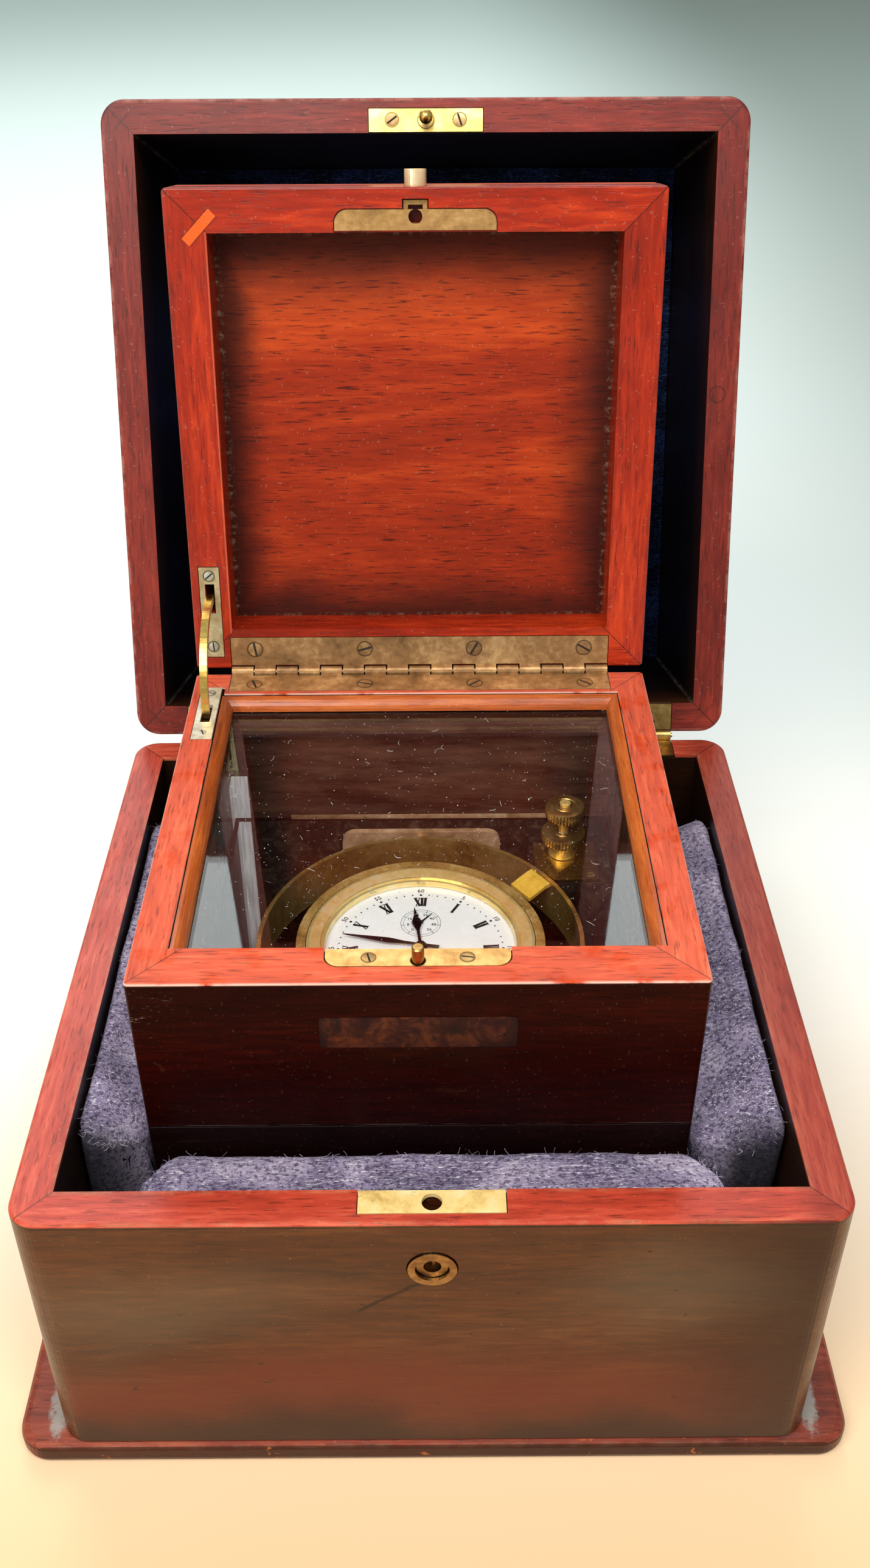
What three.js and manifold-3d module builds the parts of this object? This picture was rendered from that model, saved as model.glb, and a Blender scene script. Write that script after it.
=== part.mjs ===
// Marine chronometer in gimbals, in a three-tier mahogany box, in a padded carrying case.
// Units are millimetres and +Z is up. The front of the case faces -Y. The origin is the centre of the
// base board's underside. Lids are drawn shut and then swung open about their hinge axes by groups.
import * as THREE from 'three';
import { mergeVertices } from 'three/addons/utils/BufferGeometryUtils.js';
import Module from 'manifold-3d';

const wasm = await Module();
wasm.setup();

// ---------------------------------------------------------------- driving dimensions
const GAP = 0.3;                 // clearance between pieces that touch
const CUT = 1;                   // how far a cutting solid runs past the face it opens

// carrying case
const CASE_HALF = 120;           // half the outside width and depth
const CASE_WALL = 12;
const CASE_INNER = CASE_HALF - CASE_WALL;
const CASE_CORNER = 9;
const CASE_RIM_Z = 120;          // height of the case rim
const BASE_HALF_X = 135;
const BASE_HALF_Y = 121;
const BASE_THICK = 10;
const LID_RIM_Z = CASE_RIM_Z + 0.5;
const LID_WALL_HEIGHT = 100;
const LID_TOP_THICK = 10;
const LID_LINING_THICK = 3;
const CASE_HINGE_Y = 121.5;
const CASE_HINGE_Z = 121;
const CASE_LID_OPEN = 110;       // degrees

// fittings of the carrying case
const CATCH_Y = -112.4;          // strike hole and catch stud
const PLATE_HALF = 21;
const PLATE_FRONT_Y = -116.2;
const PLATE_REAR_Y = -108.3;
const LOCK_Z = 100;

// inner box
const BOX_SHIFT_X = -3.5;        // the inner box sits a little left of centre in its pads
const BOX_HALF = 82;
const BOX_CORNER = 1.4;
const BOX_EDGE = 0.6;            // rounding of the inner box's long edges
const BOX_BOTTOM_Z = 17.8;
const BOX_FLOOR_THICK = 7;
const LOWER_INNER = 70;
const SEAM_Z = 117;              // top of the lower tier
const MIDDLE_BOTTOM_Z = SEAM_Z + GAP;
const MIDDLE_INNER = 71.5;
const BOX_RIM_Z = 175.8;         // top of the middle tier
const GLASS_Z = 168.2;
const GLASS_THICK = 2;
const OPENING_FRONT_Y = -67.4;
const OPENING_REAR_Y = 68.7;
const BOX_HINGE_Y = 83.3;
const BOX_HINGE_Z = 176;
const TIER_HINGE_Z = 117.15;
const BOX_LID_OPEN = 101.2;      // degrees
const BOX_LID_RIM_Z = 176.2;
const BOX_FRAME_DEEP = 16;
const BOX_PANEL_THICK = 7.7;
const FRAME_OPENING = 68.2;
const HINGE_HALF = 69;           // half the piano hinge's length

// quadrant stay
const STAY_X = -75.3;
const STAY_RADIUS = 28;
const STAY_BAR = 2.6;
const STAY_INTO_LID = 4;         // degrees of arc inside the open lid
const STAY_INTO_BOX = 3;         // degrees of arc inside the box with the lid open
const STAY_SHUT_IN_LID = 30;     // degrees of arc inside the shut lid
const STAY_PLATE_HALF = 3.6;

// instrument
const PIVOT_Z = 109;
const RING_OUTER = 56.5;
const RING_INNER = 55;
const RING_BOTTOM_Z = 103;
const RING_TOP_Z = 119.5;
const BOWL_RADIUS = 40;
const BOWL_RIM_RADIUS = 43.1;
const BOWL_TOP_Z = 118.1;
const DIAL_TOP_Z = 114;
const SUBDIAL_Y = 13.4;
const MINUTE_ANGLE = 282;        // degrees clockwise from twelve
const HOUR_ANGLE = 353.5;
const RESERVE_ANGLE = 40;
const SECONDS_ANGLE = 120;
const LOCK_POST = { x: 52.5, y: 46.5 };

// ---------------------------------------------------------------- materials
const finish = (color, roughness, metalness = 0, extra = {}) =>
  new THREE.MeshStandardMaterial({ color, roughness, metalness, ...extra });
const caseWood = finish(0x6b3a20, 0.45);
const rimWood = finish(0x7c2d22, 0.5);
const boxWood = finish(0x8a2c18, 0.35);
const panelWood = finish(0x9c3a16, 0.45);
const woolFelt = finish(0x6a6478, 0.95);
const navyFelt = finish(0x10182c, 0.95);
const agedBrass = finish(0xa88b4e, 0.4, 1);
const brightBrass = finish(0xd8b25c, 0.25, 1);
const bluedSteel = finish(0x10141f, 0.3, 1);
const windowGlass = finish(0xd8e4e4, 0.05, 0, { transparent: true, opacity: 0.25 });
const enamel = finish(0xf4f4f0, 0.25);

// ---------------------------------------------------------------- solids
const radians = THREE.MathUtils.degToRad;

function solid(geometry) {
  const bare = geometry.index ? geometry.toNonIndexed() : geometry.clone();
  for (const name of Object.keys(bare.attributes)) {
    if (name !== 'position') bare.deleteAttribute(name);
  }
  const merged = mergeVertices(bare, 1e-4);
  return new wasm.Manifold(new wasm.Mesh({
    numProp: 3,
    vertProperties: new Float32Array(merged.attributes.position.array),
    triVerts: new Uint32Array(merged.index.array),
  }));
}

function geometryOf(body) {
  const mesh = body.getMesh();
  const geometry = new THREE.BufferGeometry();
  geometry.setAttribute('position', new THREE.BufferAttribute(mesh.vertProperties, 3));
  geometry.setIndex(new THREE.BufferAttribute(mesh.triVerts, 1));
  geometry.computeVertexNormals();
  return geometry;
}

const join = (...bodies) => bodies.reduce((sum, body) => sum.add(body));
const cut = (body, ...tools) => tools.reduce((rest, tool) => rest.subtract(tool), body);

function block(x0, x1, y0, y1, z0, z1) {
  const box = new THREE.BoxGeometry(x1 - x0, y1 - y0, z1 - z0);
  box.translate((x0 + x1) / 2, (y0 + y1) / 2, (z0 + z1) / 2);
  return solid(box);
}

function prism(shape, z0, z1, curveSegments = 8) {
  const geometry = new THREE.ExtrudeGeometry(shape, {
    depth: z1 - z0, bevelEnabled: false, curveSegments,
  });
  return solid(geometry.translate(0, 0, z0));
}

// a board whose top and bottom edges are rounded by the bevel
function roundedBoard(halfX, halfY, corner, z0, z1, bevel) {
  const shape = roundedRectangle(halfX - bevel, halfY - bevel, Math.max(corner - bevel, 0.5));
  const geometry = new THREE.ExtrudeGeometry(shape, {
    depth: z1 - z0 - 2 * bevel, curveSegments: 5,
    bevelThickness: bevel, bevelSize: bevel, bevelSegments: 3,
  });
  return solid(geometry.translate(0, 0, z0 + bevel));
}

function roundedRectangle(halfX, halfY, r) {
  const shape = new THREE.Shape();
  shape.absarc(halfX - r, halfY - r, r, 0, Math.PI / 2);
  shape.absarc(-halfX + r, halfY - r, r, Math.PI / 2, Math.PI);
  shape.absarc(-halfX + r, -halfY + r, r, Math.PI, 1.5 * Math.PI);
  shape.absarc(halfX - r, -halfY + r, r, 1.5 * Math.PI, 2 * Math.PI);
  return shape;
}

function outline(points) {
  return new THREE.Shape(points.map(([x, y]) => new THREE.Vector2(x, y)));
}

// a cutting frustum that chamfers the edge of a square opening where it meets the face at height z;
// side is 1 where the face looks up and -1 where it looks down
function flare(x0, x1, y0, y1, z, side, size) {
  const frustum = new THREE.BoxGeometry(x1 - x0, y1 - y0, 2 * size);
  const at = frustum.attributes.position;
  for (let i = 0; i < at.count; i += 1) {
    const wide = Math.sign(at.getZ(i)) * side * size;
    at.setX(i, at.getX(i) + Math.sign(at.getX(i)) * wide);
    at.setY(i, at.getY(i) + Math.sign(at.getY(i)) * wide);
  }
  return solid(frustum.translate((x0 + x1) / 2, (y0 + y1) / 2, z));
}

// an outline in the Y-Z plane, extruded along X
function slice(shape, x0, x1, curveSegments = 12) {
  const geometry = new THREE.ExtrudeGeometry(shape, {
    depth: x1 - x0, bevelEnabled: false, curveSegments,
  });
  const turn = new THREE.Matrix4().makeBasis(
    new THREE.Vector3(0, 1, 0), new THREE.Vector3(0, 0, 1), new THREE.Vector3(1, 0, 0));
  return solid(geometry.applyMatrix4(turn).translate(x0, 0, 0));
}

// an outline in the X-Z plane, extruded along Y
function wedge(shape, y0, y1) {
  const geometry = new THREE.ExtrudeGeometry(shape, { depth: y1 - y0, bevelEnabled: false });
  return solid(geometry.rotateX(Math.PI / 2).translate(0, y1, 0));
}

function drum(x, y, r, z0, z1, segments = 32) {
  const geometry = new THREE.CylinderGeometry(r, r, z1 - z0, segments);
  return solid(geometry.rotateX(Math.PI / 2).translate(x, y, (z0 + z1) / 2));
}

function rodX(x0, x1, y, z, r, segments = 16) {
  const geometry = new THREE.CylinderGeometry(r, r, x1 - x0, segments);
  return solid(geometry.rotateZ(Math.PI / 2).translate((x0 + x1) / 2, y, z));
}

function rodY(y0, y1, x, z, r, segments = 16) {
  const geometry = new THREE.CylinderGeometry(r, r, y1 - y0, segments);
  return solid(geometry.translate(x, (y0 + y1) / 2, z));
}

// a turned piece about a vertical axis through (x, y); the profile is [radius, z] pairs
function turned(x, y, profile, segments = 48) {
  const points = profile.map(([r, z]) => new THREE.Vector2(r, z));
  if (profile[0][0] > 0) points.push(points[0].clone());
  const geometry = new THREE.LatheGeometry(points, segments);
  return solid(geometry.rotateX(Math.PI / 2).translate(x, y, 0));
}

// a bar bent to an arc in the Y-Z plane, about a hinge; angles are degrees above the -Y direction
function quadrant(y, z, radius, bar, from, to, x0, x1) {
  const shape = new THREE.Shape();
  const [a, b] = [Math.PI - radians(from), Math.PI - radians(to)];
  shape.absarc(y, z, radius + bar / 2, a, b, true);
  shape.absarc(y, z, radius - bar / 2, b, a, false);
  return slice(shape, x0, x1, 14);
}

// ---------------------------------------------------------------- scene graph
const chronometer = new THREE.Group();

function place(name, body, material, parent = chronometer) {
  const mesh = new THREE.Mesh(geometryOf(body), material);
  mesh.name = name;
  parent.add(mesh);
  return mesh;
}

// a group that holds pieces drawn shut and swings them open about a hinge along X
function hinged(y, z, degrees, parent) {
  const swing = new THREE.Group();
  swing.position.set(0, y, z);
  swing.rotation.x = -radians(degrees);
  const shut = new THREE.Group();
  shut.position.set(0, -y, -z);
  swing.add(shut);
  parent.add(swing);
  return shut;
}

const innerBox = new THREE.Group();
innerBox.position.x = BOX_SHIFT_X;
chronometer.add(innerBox);
const outerLid = hinged(CASE_HINGE_Y, CASE_HINGE_Z, CASE_LID_OPEN, chronometer);
const innerLid = hinged(BOX_HINGE_Y, BOX_HINGE_Z, BOX_LID_OPEN, innerBox);

// ---------------------------------------------------------------- hinges
// knuckles alternate along X; the leaf with even knuckles is drawn below the joint, the other above it
const CASE_HINGE = {
  y: CASE_HINGE_Y, z: CASE_HINGE_Z, knuckle: 2.2, bore: 1.2, pin: 0.9,
  reach: 13.2, thick: 1.4, count: 5, lowerTop: CASE_RIM_Z, upperBottom: LID_RIM_Z,
};
const PIANO_HINGE = {
  y: BOX_HINGE_Y, z: BOX_HINGE_Z, knuckle: 1.9, bore: 1.2, pin: 0.9,
  reach: 13, thick: 1.2, count: 17, lowerTop: BOX_RIM_Z, upperBottom: BOX_LID_RIM_Z, play: 0.55,
};
const TIER_HINGE = {
  y: BOX_HINGE_Y, z: TIER_HINGE_Z, knuckle: 1.9, bore: 1.2, pin: 0.9,
  reach: 12, thick: 1.2, count: 3, lowerTop: SEAM_Z, upperBottom: MIDDLE_BOTTOM_Z,
};

function hingeLeaf(hinge, x0, x1, upper, bored = true) {
  const step = (x1 - x0) / hinge.count;
  const z0 = upper ? hinge.upperBottom : hinge.lowerTop - hinge.thick;
  const z1 = z0 + hinge.thick;
  const play = hinge.play ?? GAP;
  const shoulder = hinge.y - hinge.knuckle - play;
  let leaf = block(x0, x1, hinge.y - hinge.reach, shoulder, z0, z1);
  for (let i = upper ? 1 : 0; i < hinge.count; i += 2) {
    const a = x0 + i * step + (i > 0 ? play / 2 : 0);
    const b = x0 + (i + 1) * step - (i < hinge.count - 1 ? play / 2 : 0);
    const web = block(a, b, shoulder - CUT, hinge.y, z0, z1);
    leaf = join(leaf, web, rodX(a, b, hinge.y, hinge.z, hinge.knuckle, 14));
  }
  return bored ? cut(leaf, rodX(x0 - CUT, x1 + CUT, hinge.y, hinge.z, hinge.bore, 10)) : leaf;
}

// the recess for one leaf, with a channel for the knuckles at the rear edge
function hingeRecess(hinge, x0, x1, upper) {
  const depth = hinge.thick + GAP;
  const rear = hinge.y + hinge.knuckle + CUT;
  const front = hinge.y - hinge.reach - GAP;
  const channel = hinge.y - hinge.knuckle - 2 * GAP;
  const roll = hinge.knuckle + GAP;
  if (upper) {
    const bed = block(x0 - GAP, x1 + GAP, front, rear, hinge.upperBottom - CUT,
      hinge.upperBottom + depth);
    return join(bed, block(x0 - GAP, x1 + GAP, channel, rear, hinge.z - CUT, hinge.z + roll));
  }
  const bed = block(x0 - GAP, x1 + GAP, front, rear, hinge.lowerTop - depth, hinge.lowerTop + CUT);
  return join(bed, block(x0 - GAP, x1 + GAP, channel, rear, hinge.z - roll, hinge.z + CUT));
}

// ---------------------------------------------------------------- carrying case
const CASE_HINGES = { left: [-99, -54], right: [54, 99] };

function caseWalls() {
  const outer = roundedBoard(CASE_HALF, CASE_HALF, CASE_CORNER, BASE_THICK + GAP, CASE_RIM_Z, 1);
  const inner = [-CASE_INNER, CASE_INNER, -CASE_INNER, CASE_INNER];
  const hollow = join(block(...inner, 0, CASE_RIM_Z + CUT), flare(...inner, CASE_RIM_Z, 1, 0.7));
  const plateBed = block(-PLATE_HALF - GAP, PLATE_HALF + GAP, PLATE_FRONT_Y - GAP, -CASE_INNER + CUT,
    CASE_RIM_Z - 1.8, CASE_RIM_Z + CUT);
  const mortise = block(-14, 14, -116.4, -108.6, 94, CASE_RIM_Z);
  const lockHole = rodY(-CASE_HALF - CUT, -112, 0, LOCK_Z, 7.5, 28);
  return cut(outer, hollow, plateBed, mortise, lockHole,
    hingeRecess(CASE_HINGE, ...CASE_HINGES.left, false),
    hingeRecess(CASE_HINGE, ...CASE_HINGES.right, false));
}

// side is -1 for the left pad and 1 for the right one; each fills up to the off-centre inner box
function sidePad(side) {
  const face = BOX_HALF + 1.3 + side * BOX_SHIFT_X;
  const mirror = (points) => outline(points.map(([x, v]) => [x * side, v]));
  const plan = mirror([[107.6, -92], [face, -80], [face, 80], [107.6, 80]]);
  const slope = wedge(mirror([[112, 119], [76, 101], [76, 140], [112, 140]]), -130, 130);
  return cut(prism(plan, BASE_THICK + 2 * GAP, 125), slope);
}

function frontPad() {
  const plan = outline([[-92, -107.6], [92, -107.6], [78, -83.3], [-78, -83.3]]);
  const slope = slice(outline([[-112, 116], [-80, 106.5], [-80, 140], [-112, 140]]), -130, 130);
  return cut(prism(plan, BASE_THICK + 2 * GAP, 125), slope);
}

place('base_board', roundedBoard(BASE_HALF_X, BASE_HALF_Y, 10, 0, BASE_THICK, 3), caseWood);
place('case_walls', caseWalls(), caseWood);
place('case_bottom_pad', block(BOX_SHIFT_X - 81, BOX_SHIFT_X + 81, -81, 81, BASE_THICK + 2 * GAP,
  BOX_BOTTOM_Z - GAP), woolFelt);
place('case_front_pad', frontPad(), woolFelt);
place('case_rear_pad', block(-78, 78, 85.8, CASE_INNER - 0.4, BASE_THICK + 2 * GAP, 106), woolFelt);
place('case_left_pad', sidePad(-1), woolFelt);
place('case_right_pad', sidePad(1), woolFelt);
place('strike_plate', cut(
  block(-PLATE_HALF, PLATE_HALF, PLATE_FRONT_Y, PLATE_REAR_Y, CASE_RIM_Z - 1.5, CASE_RIM_Z),
  drum(0, CATCH_Y, 2.95, CASE_RIM_Z - 3, CASE_RIM_Z + CUT, 28)), agedBrass);
place('lock_escutcheon', cut(rodY(-CASE_HALF - 0.6, -117, 0, LOCK_Z, 7.15, 36),
  rodY(-CASE_HALF - CUT, -110, 0, LOCK_Z, 5, 36)), agedBrass);
place('lock_barrel', cut(rodY(-CASE_HALF + 0.6, -111, 0, LOCK_Z, 4.7, 28),
  rodY(-CASE_HALF - CUT, -116, 0, LOCK_Z, 2.6, 20)), agedBrass);
place('lock_bolt', join(block(3, 11.5, -115.6, -109.2, 115.9, 117.8),
  block(7, 10, -113.4, -110.4, 105.4, 116.5)), agedBrass);
for (const [side, [x0, x1]] of Object.entries(CASE_HINGES)) {
  place(`case_hinge_leaf_${side}`, hingeLeaf(CASE_HINGE, x0, x1, false), agedBrass);
  place(`case_hinge_pin_${side}`, rodX(x0 - 0.8, x1 + 0.8, CASE_HINGE_Y, CASE_HINGE_Z,
    CASE_HINGE.pin, 12), agedBrass);
  place(`lid_hinge_leaf_${side}`, hingeLeaf(CASE_HINGE, x0, x1, true), agedBrass, outerLid);
}

// ---------------------------------------------------------------- carrying case lid
const LID_WALL_TOP_Z = LID_RIM_Z + LID_WALL_HEIGHT;

function lidWalls() {
  const outer = roundedBoard(CASE_HALF, CASE_HALF, CASE_CORNER, LID_RIM_Z, LID_WALL_TOP_Z, 1);
  const inner = [-CASE_INNER, CASE_INNER, -CASE_INNER, CASE_INNER];
  const hollow = join(block(...inner, LID_RIM_Z - CUT, LID_WALL_TOP_Z + CUT),
    flare(...inner, LID_RIM_Z, -1, 0.7));
  const plateBed = block(-PLATE_HALF - GAP, PLATE_HALF + GAP, PLATE_FRONT_Y - GAP, -CASE_INNER + CUT,
    LID_RIM_Z - CUT, LID_RIM_Z + 1.8);
  return cut(outer, hollow, plateBed,
    hingeRecess(CASE_HINGE, ...CASE_HINGES.left, true),
    hingeRecess(CASE_HINGE, ...CASE_HINGES.right, true));
}

// neck and ball in one turned profile
function catchStud() {
  const neck = 1.3;
  const ball = 2.6;
  const centre = 113.4;
  const profile = [[0, centre - ball]];
  const last = Math.PI - Math.asin(neck / ball);
  for (let i = 1; i <= 10; i += 1) {
    const a = (last * i) / 10;
    profile.push([ball * Math.sin(a), centre - ball * Math.cos(a)]);
  }
  profile.push([neck, LID_RIM_Z - GAP], [0, LID_RIM_Z - GAP]);
  return turned(0, CATCH_Y, profile, 24);
}

place('lid_walls', lidWalls(), rimWood, outerLid);
place('lid_top', roundedBoard(CASE_HALF, CASE_HALF, CASE_CORNER, LID_WALL_TOP_Z + GAP,
  LID_WALL_TOP_Z + GAP + LID_TOP_THICK, 3), caseWood, outerLid);
place('lid_lining', block(-107.6, 107.6, -107.6, 107.6, LID_WALL_TOP_Z - LID_LINING_THICK,
  LID_WALL_TOP_Z), navyFelt, outerLid);
place('lid_catch_plate', block(-PLATE_HALF, PLATE_HALF, PLATE_FRONT_Y, PLATE_REAR_Y, LID_RIM_Z,
  LID_RIM_Z + 1.5), agedBrass, outerLid);
place('lid_catch_stud', catchStud(), brightBrass, outerLid);

// ---------------------------------------------------------------- inner box, lower tier
const FLOOR_TOP_Z = BOX_BOTTOM_Z + BOX_FLOOR_THICK;
const CORNER_BLOCK_Z = 115.4;

function lowerWalls() {
  const outer = roundedBoard(BOX_HALF, BOX_HALF, BOX_CORNER, FLOOR_TOP_Z + GAP, SEAM_Z, BOX_EDGE);
  const hollow = block(-LOWER_INNER, LOWER_INNER, -LOWER_INNER, LOWER_INNER, FLOOR_TOP_Z,
    SEAM_Z + CUT);
  const corner = cut(block(40.5, LOWER_INNER + CUT, 33, LOWER_INNER + CUT, 90, CORNER_BLOCK_Z),
    drum(0, 0, 60.5, 80, 130, 72));
  return cut(join(cut(outer, hollow), corner), hingeRecess(TIER_HINGE, -50, 50, false));
}

// a wide plate with rounded upper corners and a pivot hole, standing against a wall
function bearingPlate(y0, y1) {
  const shape = new THREE.Shape();
  shape.moveTo(-30.5, 99);
  shape.lineTo(30.5, 99);
  shape.lineTo(30.5, 107);
  shape.quadraticCurveTo(30.5, 113, 24.5, 113);
  shape.lineTo(-24.5, 113);
  shape.quadraticCurveTo(-30.5, 113, -30.5, 107);
  shape.closePath();
  return cut(wedge(shape, y0, y1), rodY(y0 - CUT, y1 + CUT, 0, PIVOT_Z, 2, 20));
}

place('lower_tier_walls', lowerWalls(), boxWood, innerBox);
place('lower_tier_bottom', block(-BOX_HALF, BOX_HALF, -BOX_HALF, BOX_HALF, BOX_BOTTOM_Z,
  FLOOR_TOP_Z), boxWood, innerBox);
place('gimbal_bearing_front', bearingPlate(-69.7, -67.3), agedBrass, innerBox);
place('gimbal_bearing_rear', bearingPlate(67.3, 69.7), agedBrass, innerBox);
place('tier_hinge_lower_leaf', join(hingeLeaf(TIER_HINGE, -50, 50, false, false),
  rodX(-50, 50, TIER_HINGE.y, TIER_HINGE.z, TIER_HINGE.pin, 10)), agedBrass, innerBox);

// ---------------------------------------------------------------- gimbal lock
const LOCK_PLATE_TOP_Z = CORNER_BLOCK_Z + GAP + 1.3;
const ARM_BOTTOM_Z = LOCK_PLATE_TOP_Z + GAP;
const ARM_TOP_Z = ARM_BOTTOM_Z + 2;
const POST_TOP_Z = 125.3;
const NUT_TOP_Z = 129.6;
const CAP_BOTTOM_Z = 136.5;

function lockArm() {
  const { x, y } = LOCK_POST;
  const kite = outline([[x - 2.4, y - 12], [x + 6.5, y - 3.5], [x + 8, y + 3], [x + 2.5, y + 8],
    [x - 3, y + 7.5], [x - 7, y + 1.5]]);
  return cut(prism(kite, ARM_BOTTOM_Z, ARM_TOP_Z), drum(x, y, 3.4, 100, 140, 20));
}

place('lock_corner_plate', cut(block(42.3, 65, 33.4, 55.4, CORNER_BLOCK_Z + GAP, LOCK_PLATE_TOP_Z),
  drum(0, 0, 59, 100, 130, 72)), agedBrass, innerBox);
place('lock_arm', lockArm(), brightBrass, innerBox);
place('lock_post', turned(LOCK_POST.x, LOCK_POST.y, [
  [0, ARM_BOTTOM_Z], [3.1, ARM_BOTTOM_Z], [3.1, ARM_TOP_Z + GAP], [5.2, ARM_TOP_Z + GAP], [5.2, POST_TOP_Z],
  [2, POST_TOP_Z], [2, 142.3], [1.4, 142.6], [0, 142.6]], 36), agedBrass, innerBox);
place('lock_cap', turned(LOCK_POST.x, LOCK_POST.y, [
  [2.3, CAP_BOTTOM_Z], [6.7, CAP_BOTTOM_Z], [7.15, CAP_BOTTOM_Z + 0.5], [7.15, 140.5], [6.7, 141], [2.3, 141]], 40),
agedBrass, innerBox);
place('lock_nut', turned(LOCK_POST.x, LOCK_POST.y, [
  [2.4, POST_TOP_Z + GAP], [7.4, POST_TOP_Z + GAP], [8.15, 126.4], [8.15, NUT_TOP_Z - 0.6],
  [7.6, NUT_TOP_Z], [2.4, NUT_TOP_Z]], 40), agedBrass, innerBox);

// ---------------------------------------------------------------- inner box, middle tier
const BEAD_BOTTOM_Z = GLASS_Z + GLASS_THICK + GAP;
const GLASS_HALF = 71.2;

function staySlot(from, to) {
  return quadrant(BOX_HINGE_Y, BOX_HINGE_Z, STAY_RADIUS, STAY_BAR + 0.8, from, to,
    STAY_X - 1.7, STAY_X + 1.7);
}

// the recess that the plate above sits in
function lockPlateBed(y1, z0, z1) {
  const plate = lockPlate(-75.2, y1, z0, z1);
  return plate.scale([26.75 / 26.4, 1, 1]).translate([0, -0.35, 0]).add(plate);
}

function middleFrame() {
  const outer = roundedBoard(BOX_HALF, BOX_HALF, BOX_CORNER, MIDDLE_BOTTOM_Z, BOX_RIM_Z, BOX_EDGE);
  const room = block(-MIDDLE_INNER, MIDDLE_INNER, -MIDDLE_INNER, MIDDLE_INNER,
    MIDDLE_BOTTOM_Z - CUT, 160);
  const ledge = block(-68.5, 68.5, -65.5, 65.5, 159, GLASS_Z);
  const sight = block(-MIDDLE_INNER, MIDDLE_INNER, OPENING_FRONT_Y, OPENING_REAR_Y, GLASS_Z - GAP,
    BOX_RIM_Z + CUT);
  const studBed = lockPlateBed(OPENING_FRONT_Y + CUT, BOX_RIM_Z - 1.5, BOX_RIM_Z + CUT);
  const stayBed = block(STAY_X - STAY_PLATE_HALF - GAP, -MIDDLE_INNER + CUT, 39.1, 72.9, BOX_RIM_Z - 1.5,
    BOX_RIM_Z + CUT);
  return cut(outer, room, ledge, sight, studBed, stayBed, staySlot(-82, 6),
    hingeRecess(PIANO_HINGE, -HINGE_HALF, HINGE_HALF, false), hingeRecess(TIER_HINGE, -50, 50, true));
}

// a quarter-round moulding on three sides of the glass; the section runs in from the frame at u = 0
function glazingBead() {
  const section = [[0, 0]];
  for (let i = 0; i <= 6; i += 1) {
    const a = (Math.PI / 2) * (i / 6);
    section.push([4 * Math.cos(a), 4.3 * Math.sin(a)]);
  }
  const side = (sign) => wedge(
    outline(section.map(([u, h]) => [sign * (GLASS_HALF - u), BEAD_BOTTOM_Z + h])), -67, 68.4);
  const rear = slice(outline(section.map(([u, h]) => [68.4 - u, BEAD_BOTTOM_Z + h])),
    -GLASS_HALF, GLASS_HALF);
  return join(side(1), side(-1), rear);
}

// a thin plate whose two corners on the outer (front) side are rounded off
function lockPlate(y0, y1, z0, z1) {
  const r = 4.2;
  const shape = new THREE.Shape();
  shape.moveTo(-26.4, y1);
  shape.lineTo(-26.4, y0 + r);
  shape.absarc(-26.4 + r, y0 + r, r, Math.PI, 1.5 * Math.PI);
  shape.absarc(26.4 - r, y0 + r, r, 1.5 * Math.PI, 2 * Math.PI);
  shape.lineTo(26.4, y1);
  shape.closePath();
  return prism(shape, z0, z1, 6);
}

function stayPlate(z0, z1, y0, y1) {
  const plate = block(STAY_X - STAY_PLATE_HALF, STAY_X + STAY_PLATE_HALF, y0, y1, z0, z1);
  return cut(plate, block(STAY_X - 1.7, STAY_X + 1.7, 50, 61, z0 - CUT, z1 + CUT));
}

place('tier_hinge_upper_leaf', hingeLeaf(TIER_HINGE, -50, 50, true), agedBrass, innerBox);
place('middle_tier_frame', middleFrame(), boxWood, innerBox);
place('glazing_bead', glazingBead(), boxWood, innerBox);
place('glass_pane', block(-GLASS_HALF, GLASS_HALF, -67.1, 68.4, GLASS_Z, GLASS_Z + GLASS_THICK),
  windowGlass, innerBox);
place('stud_plate', cut(lockPlate(-75.2, -68.1, BOX_RIM_Z - 1.2, BOX_RIM_Z),
  drum(0, -73, 2.2, 170, 180, 20)), agedBrass, innerBox);
place('catch_stud', turned(0, -73, [[0, BOX_RIM_Z - 1.2], [1.8, BOX_RIM_Z - 1.2], [1.8, BOX_RIM_Z + 4.8],
  [1.4, BOX_RIM_Z + 5.2], [0, BOX_RIM_Z + 5.2]], 24), agedBrass, innerBox);
place('stay_rim_plate', stayPlate(BOX_RIM_Z - 1.2, BOX_RIM_Z, 39.4, 72.6), agedBrass, innerBox);
place('piano_hinge_lower_leaf', hingeLeaf(PIANO_HINGE, -HINGE_HALF, HINGE_HALF, false),
  agedBrass, innerBox);
place('piano_hinge_pin', rodX(-HINGE_HALF, HINGE_HALF, BOX_HINGE_Y, BOX_HINGE_Z, PIANO_HINGE.pin, 10),
  agedBrass, innerBox);

// ---------------------------------------------------------------- inner lid
const FRAME_TOP_Z = BOX_LID_RIM_Z + BOX_FRAME_DEEP;

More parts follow.
